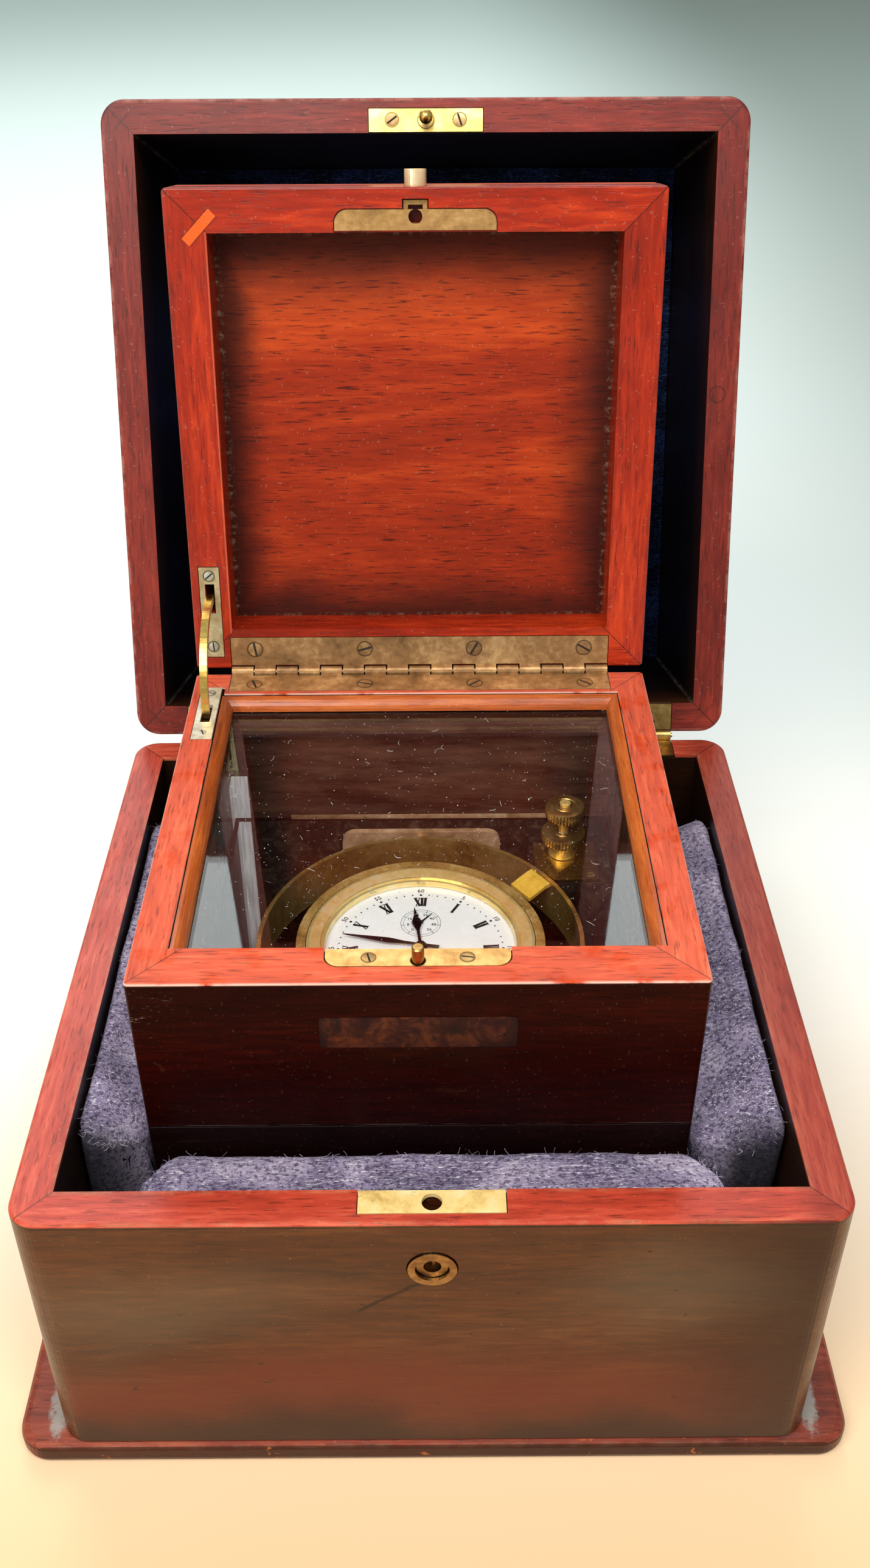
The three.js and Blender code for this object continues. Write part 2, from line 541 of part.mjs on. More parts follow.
function lidFrame() {
  const outer = roundedBoard(BOX_HALF, BOX_HALF, BOX_CORNER, BOX_LID_RIM_Z, FRAME_TOP_Z, BOX_EDGE);
  const inner = [-FRAME_OPENING, FRAME_OPENING, -FRAME_OPENING, 67];
  const recess = join(block(...inner, BOX_LID_RIM_Z - CUT, FRAME_TOP_Z + CUT),
    flare(...inner, BOX_LID_RIM_Z, -1, 0.6));
  const holeBed = lockPlateBed(-FRAME_OPENING + CUT, BOX_LID_RIM_Z - CUT, BOX_LID_RIM_Z + 1.5);
  const latchRoom = block(-4.3, 4.3, -78.4, -68.8, BOX_LID_RIM_Z, 186);
  const buttonBore = rodY(-BOX_HALF - CUT, -78, 0, 184, 4, 24);
  const stayBed = block(STAY_X - STAY_PLATE_HALF - GAP, STAY_X + STAY_PLATE_HALF + GAP, 43.5, 77.8,
    BOX_LID_RIM_Z - CUT, BOX_LID_RIM_Z + 1.5);
  const stayRoom = block(STAY_X - 1.7, STAY_X + 1.7, 50, 61, BOX_LID_RIM_Z - CUT,
    FRAME_TOP_Z + CUT);
  return cut(outer, recess, holeBed, latchRoom, buttonBore, stayBed, stayRoom,
    hingeRecess(PIANO_HINGE, -HINGE_HALF, HINGE_HALF, true));
}

function pushButton() {
  return join(rodY(-87, -80, 0, 184, 3.65, 28), rodY(-80.5, -78.2, 0, 184, 1.4, 14));
}

// a slotted plate round the catch stud, with an upright that the button's stem pushes
function latchSlide() {
  const plate = cut(block(-3.9, 3.9, -77.9, -70.2, 178.4, 180),
    block(-2.4, 2.4, -76.5, -70.9, 170, 190));
  return join(plate, block(-1.6, 1.6, -77.9, -76.7, 178.4, 185.4));
}

place('piano_hinge_upper_leaf', hingeLeaf(PIANO_HINGE, -HINGE_HALF, HINGE_HALF, true),
  agedBrass, innerLid);
place('inner_lid_frame', lidFrame(), boxWood, innerLid);
place('inner_lid_panel', roundedBoard(BOX_HALF, BOX_HALF, 2, FRAME_TOP_Z + GAP,
  FRAME_TOP_Z + GAP + BOX_PANEL_THICK, 1.5), panelWood, innerLid);
place('hole_plate', cut(lockPlate(-75.2, -68.8, BOX_LID_RIM_Z, BOX_LID_RIM_Z + 1.2),
  drum(0, -73, 2.3, 170, 180, 20)), agedBrass, innerLid);
place('push_button', pushButton(), brightBrass, innerLid);
place('latch_slide', latchSlide(), agedBrass, innerLid);
place('stay_lid_plate', stayPlate(BOX_LID_RIM_Z, BOX_LID_RIM_Z + 1.2, 43.8, 77.5), agedBrass, innerLid);
place('stay_arc', quadrant(BOX_HINGE_Y, BOX_HINGE_Z, STAY_RADIUS, STAY_BAR, -STAY_INTO_BOX,
  BOX_LID_OPEN + STAY_INTO_LID, STAY_X - 1.3, STAY_X + 1.3), brightBrass, innerBox);

// ---------------------------------------------------------------- gimbals and instrument
function gimbalRing() {
  const band = turned(0, 0, [[RING_INNER, RING_BOTTOM_Z], [RING_OUTER, RING_BOTTOM_Z],
    [RING_OUTER, RING_TOP_Z], [RING_INNER, RING_TOP_Z]], 72);
  const pin = (sign) => join(rodY(...[56 * sign, 69.4 * sign].sort((a, b) => a - b), 0, PIVOT_Z, 1.6, 14),
    rodY(...[56 * sign, 59.5 * sign].sort((a, b) => a - b), 0, PIVOT_Z, 4, 20));
  return cut(join(band, pin(1), pin(-1)), rodX(-60, 60, 0, PIVOT_Z, 2, 16));
}

// a bent strip on the ring's inner wall that reaches in to the bowl rim
function ringBridge() {
  const azimuth = radians(37);
  const strip = slice(outline([[45, 117], [52.3, 119], [54.6, 119.2], [54.6, 117.6],
    [52.3, 117.6], [45, 115.6]]), -5.2, 5.2);
  const degrees = THREE.MathUtils.radToDeg(azimuth - Math.PI / 2);
  return strip.rotate([0, 0, degrees]);
}

function bowl() {
  const shell = turned(0, 0, [[0, 82], [29, 82], [37.5, 86], [BOWL_RADIUS, 92],
    [BOWL_RADIUS, 115.6], [BOWL_RIM_RADIUS, 115.6], [BOWL_RIM_RADIUS, BOWL_TOP_Z],
    [39.9, BOWL_TOP_Z], [39.9, 115.4], [38.4, 115.4], [38.4, 93], [36, 87.6], [28.5, 83.6],
    [0, 83.6]], 64);
  const pins = join(rodX(39.2, 57.4, 0, PIVOT_Z, 1.6, 14), rodX(-57.4, -39.2, 0, PIVOT_Z, 1.6, 14));
  return cut(join(shell, pins), drum(12, -8, 3, 80, 85, 20));
}

place('gimbal_ring', gimbalRing(), brightBrass, innerBox);
place('ring_bridge', ringBridge(), brightBrass, innerBox);
place('bowl', bowl(), agedBrass, innerBox);
place('bezel', turned(0, 0, [[33.3, 114.3], [38.1, 114.3], [38.1, 115.7], [39.6, 115.7],
  [39.6, 118], [38.6, 118.3], [34.9, 117.6], [34.9, 116.6], [33.3, 116.6]], 72),
brightBrass, innerBox);
place('crystal', drum(0, 0, 34.6, 116.9, 117.9, 64), windowGlass, innerBox);
place('dial', drum(0, 0, 36, 112.8, DIAL_TOP_Z, 64), enamel, innerBox);
place('movement', turned(0, 0, [[0, 85], [30, 85], [34, 89], [34, 112.4], [0, 112.4]], 40),
  agedBrass, innerBox);

// hands are drawn pointing to twelve about their own arbor, then turned clockwise
function hand(name, x, y, degrees, bodies) {
  const body = join(...bodies).rotate([0, 0, -degrees]).translate([x, y, 0]);
  place(name, body, bluedSteel, innerBox);
}

// a flat blade, from [half width, distance] pairs up one side
function blade(profile, z0, z1) {
  const right = profile.map(([w, y]) => [w, y]);
  const left = profile.filter(([w]) => w > 0).map(([w, y]) => [-w, y]).reverse();
  return prism(outline([...right, ...left]), z0, z1);
}

const DIAMOND = [[0.55, -4.5], [0.5, 5], [0.55, 8.6], [1.9, 12.4], [0.6, 16.2], [0.35, 18.5],
  [0, 20.8]];
const LANCE = [[0.7, -6.5], [0.5, 2], [0.55, 6], [1.15, 11.5], [0.95, 15], [0.45, 22], [0.3, 25],
  [0, 28]];
const NEEDLE = [[0.35, -2.6], [0.22, 4], [0, 6.2]];
hand('hour_hand', 0, 0, HOUR_ANGLE, [cut(join(blade(DIAMOND, 115, 115.4), drum(0, 0, 2.3, 115, 115.4, 24),
  drum(0, 0, 1.6, 114.3, 115.2, 20)), drum(0, 0, 0.9, 110, 120, 14))]);
hand('minute_hand', 0, 0, MINUTE_ANGLE, [blade(LANCE, 115.8, 116.2), drum(0, 0, 1.7, 115.7, 116.3, 24),
  drum(0, 0, 0.6, 114.3, 116.6, 14)]);
hand('seconds_hand', 0, -SUBDIAL_Y, SECONDS_ANGLE, [blade(NEEDLE, 114.3, 114.6),
  drum(0, 0, 0.9, 114.3, 114.7, 16)]);
hand('reserve_hand', 0, SUBDIAL_Y, RESERVE_ANGLE, [blade(NEEDLE, 114.3, 114.6),
  drum(0, 0, 0.9, 114.3, 114.7, 16)]);

export default chronometer;
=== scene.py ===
"""Looks of the boxed marine chronometer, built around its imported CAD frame. Lengths are written in
millimetres and turned into metres by mm(). The front faces -Y, and lids are placed by swinging shut
coordinates open about their hinges."""

import math
import random

import bmesh
import bpy
from mathutils.bvhtree import BVHTree
from mathutils import Matrix, Vector, noise


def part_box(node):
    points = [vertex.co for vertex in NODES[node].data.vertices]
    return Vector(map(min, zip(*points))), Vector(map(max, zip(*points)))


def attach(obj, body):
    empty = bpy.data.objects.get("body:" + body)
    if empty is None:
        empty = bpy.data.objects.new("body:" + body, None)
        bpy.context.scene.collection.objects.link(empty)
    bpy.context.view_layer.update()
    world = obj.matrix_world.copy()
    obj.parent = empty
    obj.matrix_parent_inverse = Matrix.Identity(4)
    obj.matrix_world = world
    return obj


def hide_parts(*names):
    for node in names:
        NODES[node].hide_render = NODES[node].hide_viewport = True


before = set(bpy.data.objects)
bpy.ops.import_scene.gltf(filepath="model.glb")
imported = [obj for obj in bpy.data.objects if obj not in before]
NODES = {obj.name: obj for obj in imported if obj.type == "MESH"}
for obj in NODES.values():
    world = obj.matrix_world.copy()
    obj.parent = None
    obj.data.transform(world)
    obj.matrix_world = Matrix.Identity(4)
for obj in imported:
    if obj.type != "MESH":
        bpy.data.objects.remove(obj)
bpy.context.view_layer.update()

# ------------------------------------------------------------------ places
BOX_X = -3.5                     # the inner box sits left of centre
CATCH_Y = -112.4                 # the carrying case's catch stud and strike hole
PIANO_SCREWS = (-60.2, -20.0, 20.0, 60.2)
CASE_HINGE = (121.5, 121.0, 110.0)
BOX_HINGE = (83.3, 176.0, 101.2)


def mm(*v):
    return Vector([c / 1000 for c in v])


def swing(hinge, shift=0.0):
    """Matrix from a lid's shut place to its open one."""
    y, z, degrees = hinge
    turn = Matrix.Rotation(math.radians(-degrees), 4, "X")
    pivot = Matrix.Translation(mm(0, y, z))
    return Matrix.Translation(mm(shift, 0, 0)) @ pivot @ turn @ pivot.inverted()


CASE = Matrix.Identity(4)
OUTER_LID = swing(CASE_HINGE)
INNER = Matrix.Translation(mm(BOX_X, 0, 0))
INNER_LID = swing(BOX_HINGE, BOX_X)

# ------------------------------------------------------------------ camera, floor and light
FOCAL_PX, FRAME_W, FRAME_H = 2399.4, 1430, 2576
CAMERA_AT = mm(0.7, -378.0, 457.0)
CAMERA_YAW, CAMERA_PITCH, CAMERA_ROLL = 0.0027, 0.6247, -0.0046


def add_camera():
    data = bpy.data.cameras.new("camera")
    data.sensor_fit = "VERTICAL"
    data.sensor_height = 36.0
    data.lens = FOCAL_PX / FRAME_H * data.sensor_height
    data.clip_start = 0.01
    ahead = Vector((math.sin(CAMERA_YAW), math.cos(CAMERA_YAW), 0))
    right = Vector((math.cos(CAMERA_YAW), -math.sin(CAMERA_YAW), 0))
    sky = Vector((0, 0, 1))
    look = ahead * math.cos(CAMERA_PITCH) - sky * math.sin(CAMERA_PITCH)
    up = ahead * math.sin(CAMERA_PITCH) + sky * math.cos(CAMERA_PITCH)
    x = right * math.cos(CAMERA_ROLL) + up * math.sin(CAMERA_ROLL)
    y = up * math.cos(CAMERA_ROLL) - right * math.sin(CAMERA_ROLL)
    obj = bpy.data.objects.new("camera", data)
    obj.matrix_world = Matrix.Translation(CAMERA_AT) @ Matrix((x, y, -look)).transposed().to_4x4()
    bpy.context.scene.collection.objects.link(obj)
    bpy.context.scene.camera = obj


def add_light(name, at, aim, size, power, color=(1, 1, 1)):
    data = bpy.data.lights.new(name, "AREA")
    data.shape = "RECTANGLE"
    data.size, data.size_y = size
    data.energy = power
    data.color = color
    obj = bpy.data.objects.new(name, data)
    obj.location = at
    obj.rotation_euler = (Vector(aim) - Vector(at)).to_track_quat("-Z", "Y").to_euler()
    bpy.context.scene.collection.objects.link(obj)


def add_stage():
    bm = bmesh.new()
    bmesh.ops.create_grid(bm, x_segments=2, y_segments=2, size=6)
    floor = mesh_object("studio_floor", bm)
    floor.location.z = -0.0002
    floor.data.materials.append(stage_material())
    world = bpy.data.worlds.new("studio")
    world.use_nodes = True
    back = world.node_tree.nodes["Background"]
    back.inputs["Color"].default_value = (0.86, 0.93, 0.91, 1)
    back.inputs["Strength"].default_value = 0.55
    bpy.context.scene.world = world
    add_light("fill", (0.32, -0.62, 1.25), (-0.03, 0, 0.12), (0.3, 0.3), 7)
    add_light("key", (-0.40, -0.75, 1.25), (0, 0.0, 0.12), (0.9, 0.7), 18, (1, 0.97, 0.93))
    add_light("window", (-0.25, 1.65, 1.75), (0, 0.0, 0.15), (1.7, 1.5), 30, (0.97, 0.99, 1))
    add_light("front", (-1.05, -1.45, 0.75), (0, 0, 0.12), (0.6, 0.6), 5, (1, 0.96, 0.9))
    bpy.context.scene.view_settings.view_transform = "Standard"


# ------------------------------------------------------------------ mesh helpers
def mesh_object(name, bm):
    data = bpy.data.meshes.new(name)
    bm.to_mesh(data)
    bm.free()
    obj = bpy.data.objects.new(name, data)
    bpy.context.scene.collection.objects.link(obj)
    return obj


def piece(name, bm, place, body, material):
    """Makes a piece from a mesh drawn in millimetres and shut coordinates."""
    bmesh.ops.scale(bm, vec=(0.001, 0.001, 0.001), verts=bm.verts)
    bmesh.ops.transform(bm, matrix=place, verts=bm.verts)
    bmesh.ops.recalc_face_normals(bm, faces=bm.faces)
    for face in bm.faces:
        face.smooth = True
    for edge in bm.edges:
        edge.smooth = edge.is_manifold and edge.calc_face_angle(0) < math.radians(32)
    obj = mesh_object(name, bm)
    obj.data.materials.append(material)
    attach(obj, body)
    return obj


def dress(material, *nodes):
    for name in nodes:
        for slot in NODES[name].material_slots:
            slot.material = material


def ring_stack(bm, rings, closed=True):
    """Joins rings of equal length with quads, and caps both ends."""
    rows = [[bm.verts.new(p) for p in ring] for ring in rings]
    for low_row, high_row in zip(rows, rows[1:]):
        for i in range(len(low_row)):
            j = (i + 1) % len(low_row)
            bm.faces.new((low_row[i], low_row[j], high_row[j], high_row[i]))
    if closed:
        bm.faces.new(rows[0][::-1])
        bm.faces.new(rows[-1])


def bar(bm, path, width, z, thick=0.03):
    """A flat stroke of one width along a path, standing just proud of height z."""
    for (x0, y0), (x1, y1) in zip(path, path[1:]):
        run = Vector((x1 - x0, y1 - y0))
        side = Vector((-run.y, run.x)).normalized() * width / 2
        corners = [(x0 + side.x, y0 + side.y), (x0 - side.x, y0 - side.y),
                   (x1 - side.x, y1 - side.y), (x1 + side.x, y1 + side.y)]
        ring_stack(bm, [[(x, y, z) for x, y in corners], [(x, y, z + thick) for x, y in corners]])


def screw(bm, at, normal, radius, slot_angle, dome=0.09, slot=0.16):
    """A slotted screw head, made of rows that run along the slot. It is nearly flush, so that closing
    leaves clear each other, and the slot's floor has the second material."""
    half = radius * slot
    xs = [-1, -0.94, -0.8, -0.6, -0.4]
    columns = [(x * radius, False) for x in xs if -x * radius > half]
    columns += [(-half, False), (-half, True), (half, True), (half, False)]
    columns += [(-x * radius, False) for x in reversed(xs) if -x * radius > half]
    turn = Vector((0, 0, 1)).rotation_difference(Vector(normal)).to_matrix().to_4x4()
    place = Matrix.Translation(at) @ turn @ Matrix.Rotation(math.radians(slot_angle), 4, "Z")
    rows = 8
    top, bottom = [], []
    for x, sunk in columns:
        chord = math.sqrt(max(radius ** 2 - x ** 2, 0.0001))
        up, down = [], []
        for j in range(rows + 1):
            y = chord * math.sin(math.pi * (j / rows - 0.5))
            out = (x * x + y * y) / radius ** 2
            height = 0.015 if sunk else dome * (1 - out ** 2) + 0.03
            up.append(bm.verts.new(place @ Vector((x, y, height))))
            down.append(bm.verts.new(place @ Vector((x, y, -0.35))))
        top.append(up)
        bottom.append(down)
    for grid, flip in ((top, False), (bottom, True)):
        for i, (a, b) in enumerate(zip(grid, grid[1:])):
            for j in range(rows):
                quad = (a[j], b[j], b[j + 1], a[j + 1])
                face = bm.faces.new(quad[::-1] if flip else quad)
                if columns[i][1] and columns[i + 1][1]:
                    face.material_index = 1
    edge = [c[0] for c in top] + top[-1][1:] + [c[-1] for c in top[-2::-1]] + top[0][-2:0:-1]
    foot = [c[0] for c in bottom] + bottom[-1][1:] + [c[-1] for c in bottom[-2::-1]] + bottom[0][-2:0:-1]
    for i in range(len(edge)):
        j = (i + 1) % len(edge)
        bm.faces.new((foot[i], foot[j], edge[j], edge[i]))


def rounded(half_x, half_y, corner, steps=5):
    points = []
    for cx, cy, start in ((1, 1, 0), (-1, 1, 90), (-1, -1, 180), (1, -1, 270)):
        for i in range(steps + 1):
            a = math.radians(start + 90 * i / steps)
            points.append((cx * (half_x - corner) + corner * math.cos(a),
                           cy * (half_y - corner) + corner * math.sin(a)))
    return points


# ------------------------------------------------------------------ material helpers
def hue(text):
    """Linear colour from a six-figure sRGB one."""
    parts = [int(text[i:i + 2], 16) / 255 for i in (0, 2, 4)]
    return tuple(c / 12.92 if c < 0.04045 else ((c + 0.055) / 1.055) ** 2.4 for c in parts) + (1.0,)


class Look:
    """A Principled material, with short calls for the nodes behind it."""

    def __init__(self, name, **fixed):
        self.data = bpy.data.materials.new(name)
        self.data.use_nodes = True
        self.tree = self.data.node_tree
        self.shader = self.tree.nodes["Principled BSDF"]
        for key, value in fixed.items():
            self.shader.inputs[key.replace("_", " ")].default_value = value

    def plug(self, socket, value):
        if isinstance(value, bpy.types.NodeSocket):
            self.tree.links.new(value, socket)
        else:
            socket.default_value = value

    def node(self, kind, values, **settings):
        n = self.tree.nodes.new("ShaderNode" + kind)
        for key, value in settings.items():
            setattr(n, key, value)
        for key, value in values.items():
            self.plug(n.inputs[key], value)
        return n

    def math(self, operation, a, b=0.0, clamp=False):
        return self.node("Math", {0: a, 1: b}, operation=operation, use_clamp=clamp).outputs[0]

    def spread(self, value, low, high, to=(0.0, 1.0)):
        n = self.node("MapRange", {"Value": value, "From Min": low, "From Max": high, "To Min": to[0],
                                   "To Max": to[1]}, interpolation_type="SMOOTHSTEP")
        return n.outputs["Result"]

    def mix(self, factor, a, b, blend="MIX"):
        n = self.node("Mix", {0: factor, 6: a, 7: b}, data_type="RGBA", blend_type=blend)
        return n.outputs[2]

    def ramp(self, value, stops):
        n = self.node("ValToRGB", {"Fac": value})
        while len(n.color_ramp.elements) < len(stops):
            n.color_ramp.elements.new(0.5)
        for element, (position, color) in zip(n.color_ramp.elements, stops):
            element.position = position
            element.color = color
        return n.outputs["Color"]

    def noise(self, vector, scale, detail=4.0, roughness=0.55, distortion=0.0):
        n = self.node("TexNoise", {"Vector": vector, "Scale": scale, "Detail": detail,
                                   "Roughness": roughness, "Distortion": distortion})
        return n.outputs["Fac"]

    def cells(self, vector, scale, randomness=1.0):
        n = self.node("TexVoronoi", {"Vector": vector, "Scale": scale, "Randomness": randomness})
        return n.outputs["Distance"]

    def stretch(self, vector, x=1.0, y=1.0, z=1.0, turn=(0, 0, 0), shift=(0, 0, 0)):
        return self.node("Mapping", {"Vector": vector, "Scale": (x, y, z), "Rotation": turn,
                                     "Location": shift}).outputs[0]

    def split(self, vector):
        return self.node("SeparateXYZ", {0: vector}).outputs

    def gather(self, x, y, z):
        return self.node("CombineXYZ", {0: x, 1: y, 2: z}).outputs[0]

    def shut(self, place):
        """Object coordinates in metres, turned back to where the piece lies when it is shut."""
        at = self.node("TexCoord", {}).outputs["Object"]
        back = place.inverted()
        if back.to_translation().length < 1e-9:
            return at
        return self.stretch(at, turn=back.to_euler(), shift=back.to_translation())

    def near(self, value, target, reach):
        """1 where value is target, falling to 0 at reach on both sides."""
        off = self.math("ABSOLUTE", self.math("SUBTRACT", value, target))
        return self.spread(off, 0.0, reach, (1.0, 0.0))

    def bump(self, height, strength, distance):
        n = self.node("Bump", {"Height": height, "Strength": strength, "Distance": distance})
        self.plug(self.shader.inputs["Normal"], n.outputs["Normal"])

    def color(self, value):
        self.plug(self.shader.inputs["Base Color"], value)

    def rough(self, value):
        self.plug(self.shader.inputs["Roughness"], value)


def grain_axes(look, at, grain):
    """The place in the wood with its first axis along the grain."""
    x, y, z = look.split(at)
    if grain == "x":
        return at
    if grain == "y":
        return look.gather(y, x, z)
    side = look.math("GREATER_THAN", look.math("ABSOLUTE", x), look.math("ABSOLUTE", y))
    n = look.node("Mix", {0: side, 4: look.gather(x, y, z), 5: look.gather(y, x, z)}, data_type="VECTOR")
    return n.outputs[1]


def wood(name, place, grain, colors, gloss, seed=0.0, pores=0.5, figure=0.5, edges=(), wear="b98a64",
         wear_amount=0.2, mitre=None, finish=None, coat=0.0, rim=None, shine=0.35, flecks=0.1):
    """Varnished wood. colors run from dark to light; edges are (half width, height) in metres of
    worn arrises round a square frame, mitre is the height of the face that shows mitred joints, and rim
    gives the colours of that face and the height it starts at, above it or below it. On the case and the
    middle tier the rim colours are lighter: partly the rims' redder wood, partly painted light on the rim faces."""
    look = Look(name, Coat_Weight=coat, Coat_Roughness=0.18, Specular_IOR_Level=shine)
    at = look.shut(place)
    x, y, z = look.split(at)
    along = look.stretch(grain_axes(look, at, grain), shift=(seed, seed * 0.7, seed * 0.3))
    cloud = look.noise(look.stretch(along, 0.22), 16, 4, 0.55, 1.0)
    streak = look.noise(look.stretch(along, 0.11), 520, 5, 0.6, 0.5)
    band = look.noise(look.stretch(along, 0.06), 80, 3, 0.5, 0.4)
    tone = look.math("ADD", look.math("MULTIPLY", cloud, figure),
                     look.math("ADD", look.math("MULTIPLY", streak, 0.75 * (1 - figure)),
                               look.math("MULTIPLY", band, 0.25 * (1 - figure) + 0.0)))
    count = len(colors) - 1
    color = look.ramp(tone, [(0.30 + 0.40 * i / count, hue(c)) for i, c in enumerate(colors)])
    if rim:
        shades, start, side = rim
        face = look.math("GREATER_THAN" if side > 0 else "LESS_THAN", z, start)
        face_color = look.ramp(tone, [(0.30 + 0.40 * i / (len(shades) - 1), hue(c)) for i, c in enumerate(shades)])
        color = look.mix(face, color, face_color)
    pore = look.spread(look.noise(look.stretch(along, 0.09), 1500, 2, 0.5), 0.58, 0.7)
    color = look.mix(look.math("MULTIPLY", pore, pores), color, hue(colors[0]), "MULTIPLY")
    fleck = look.spread(look.noise(look.stretch(at, 1, 1, 1), 900, 2, 0.5), 0.66, 0.74)
    color = look.mix(look.math("MULTIPLY", fleck, flecks), color, hue("d8c2a8"))
    scuffs = look.noise(look.stretch(at, 0.5, 1.6, 1.0, turn=(0.4, 0.9, 0.7)), 60, 8, 0.75, 2.5)
    scuff = look.spread(scuffs, 0.63, 0.72)
    color = look.mix(look.math("MULTIPLY", scuff, 0.8 * flecks), color, hue(wear))
    square = look.math("MAXIMUM", look.math("ABSOLUTE", x), look.math("ABSOLUTE", y))
    for half, height in edges:
        worn = look.math("MULTIPLY", look.near(square, half, 0.0013), look.near(z, height, 0.0016))
        patchy = look.spread(look.noise(at, 140, 5, 0.7), 0.40, 0.62)
        color = look.mix(look.math("MULTIPLY", look.math("MULTIPLY", worn, patchy), wear_amount), color, hue(wear))
    if mitre is not None:
        gap = look.math("SUBTRACT", look.math("ABSOLUTE", x), look.math("ABSOLUTE", y))
        seam = look.math("MULTIPLY", look.near(gap, 0.0, 0.0005), look.near(z, mitre, 0.004))
        color = look.mix(look.math("MULTIPLY", seam, 0.75), color, hue("1c0a06"))
    if finish:
        color = finish(look, at, (x, y, z), color)
    look.color(color)
    grime = look.noise(at, 45, 5, 0.6)
    base = look.math("ADD", gloss, look.math("MULTIPLY", look.math("SUBTRACT", grime, 0.5), 0.35))
    look.rough(look.math("ADD", base, look.math("MULTIPLY", scuff, 0.18), clamp=True))
    height = look.math("SUBTRACT", look.math("MULTIPLY", streak, 0.6), look.math("MULTIPLY", pore, 0.5))
    look.bump(height, 0.35, 0.0002)
    return look.data


def brass(name, place, colors, gloss, seed=0.0, tarnish=0.5, brushed=None, spots="2a1c0c", rings=(), metal=1.0):
    """Old brass: colors run from bright to dark, with brown spots and fine scratches. rings are the
    (x, y, radius) in millimetres of dark lines round screw heads."""
    look = Look(name, Metallic=metal)
    home = look.shut(place)
    at = look.stretch(home, shift=(seed, seed, seed))
    patch = look.noise(at, 55, 7, 0.62, 0.6)
    fine = look.noise(at, 420, 5, 0.6)
    tone = look.math("ADD", look.math("MULTIPLY", patch, 0.7), look.math("MULTIPLY", fine, 0.3))
    color = look.ramp(tone, [(0.32 + 0.36 * i / (len(colors) - 1), hue(c)) for i, c in enumerate(colors)])
    spot = look.spread(look.noise(at, 230, 4, 0.7, 0.5), 0.60 + 0.08 * (1 - tarnish), 0.76)
    color = look.mix(look.math("MULTIPLY", spot, 0.75 * tarnish), color, hue(spots))
    for x, y, radius in rings:
        away = look.node("VectorMath", {0: look.stretch(home, 1, 1, 0), 1: mm(x, y, 0)}, operation="DISTANCE")
        line = look.near(away.outputs["Value"], radius / 1000, 0.00045)
        color = look.mix(look.math("MULTIPLY", line, 0.85), color, hue("1c1208"))
    look.color(color)
    line = look.stretch(at, *(brushed or (0.3, 1.4, 1.0)), turn=(0, 0, 0) if brushed else (0.2, 0.5, 0.8))
    scratch = look.noise(line, 900, 3, 0.7)
    look.rough(look.math("ADD", look.math("ADD", gloss, look.math("MULTIPLY", spot, 0.25 * tarnish)),
                         look.math("MULTIPLY", look.math("SUBTRACT", scratch, 0.5), 0.28), clamp=True))
    look.bump(look.math("ADD", look.math("MULTIPLY", scratch, 0.6), look.math("MULTIPLY", fine, 0.4)), 0.25, 0.0001)
    return look.data


def felt(name, place, colors, sheen, fuzz="b9b2c6", shade=None):
    """Wool or felt: a tangle of fibres that run every way, over cloudy dye and rubbed patches."""
    look = Look(name, Sheen_Weight=sheen, Sheen_Roughness=0.5, Sheen_Tint=hue(fuzz), Roughness=0.95,
                Specular_IOR_Level=0.1)
    at = look.shut(place)
    cloud = look.noise(at, 40, 5, 0.6, 0.5)
    color = look.ramp(cloud, [(0.36 + 0.28 * i / (len(colors) - 1), hue(c)) for i, c in enumerate(colors)])
    tangle = None
    for turn, wide in (((0.3, 0.2, 0.9), 0.12), ((0.9, 0.5, -0.6), 0.1), ((-0.5, 1.1, 0.2), 0.14)):
        strand = look.noise(look.stretch(at, wide, 1, 1, turn=turn), 1900, 2, 0.5, 1.5)
        tangle = strand if tangle is None else look.math("MAXIMUM", tangle, strand)
    light = look.spread(tangle, 0.60, 0.72)
    color = look.mix(look.math("MULTIPLY", light, 0.9), color, hue(fuzz))
    dark = look.spread(look.noise(at, 750, 4, 0.7), 0.40, 0.52, (1.0, 0.0))
    color = look.mix(look.math("MULTIPLY", dark, 0.8), color, hue(colors[0]), "MULTIPLY")
    if shade:
        color = shade(look, at, color)
    look.color(color)
    look.bump(look.math("ADD", tangle, look.math("MULTIPLY", look.noise(at, 260, 4, 0.6), 0.7)), 0.7, 0.0006)
    return look.data


def pane(name, place, dust):
    """Clear glass with dust on it: see-through but for what it mirrors and the dust."""
    look = Look(name, IOR=1.5)
    at = look.shut(place)
    facing = look.node("LayerWeight", {"Blend": 0.5}).outputs["Facing"]
    mirror = look.math("ADD", look.math("MULTIPLY", look.math("POWER", facing, 5.0), 0.96), 0.04)
    film = look.math("MULTIPLY", look.spread(look.noise(at, 30, 6, 0.7, 0.8), 0.35, 0.75), 0.015 * dust)
    specks = look.spread(look.cells(at, 900), 0.08, 0.2, (1.0, 0.0))
    chosen = look.spread(look.noise(at, 330, 2, 0.5), 0.56, 0.64)
    solid = look.math("MULTIPLY", look.math("MULTIPLY", specks, chosen), 0.4 * dust)
    grey = look.math("MAXIMUM", film, solid)
    look.color(look.mix(grey, hue("f4f8f7"), hue("c9c3b8")))
    look.plug(look.shader.inputs["Metallic"], look.spread(grey, 0.05, 0.25, (1.0, 0.0)))
    look.rough(look.spread(grey, 0.05, 0.3, (0.03, 0.8)))
    look.plug(look.shader.inputs["Alpha"], look.math("MAXIMUM", mirror, grey, clamp=True))
    return look.data


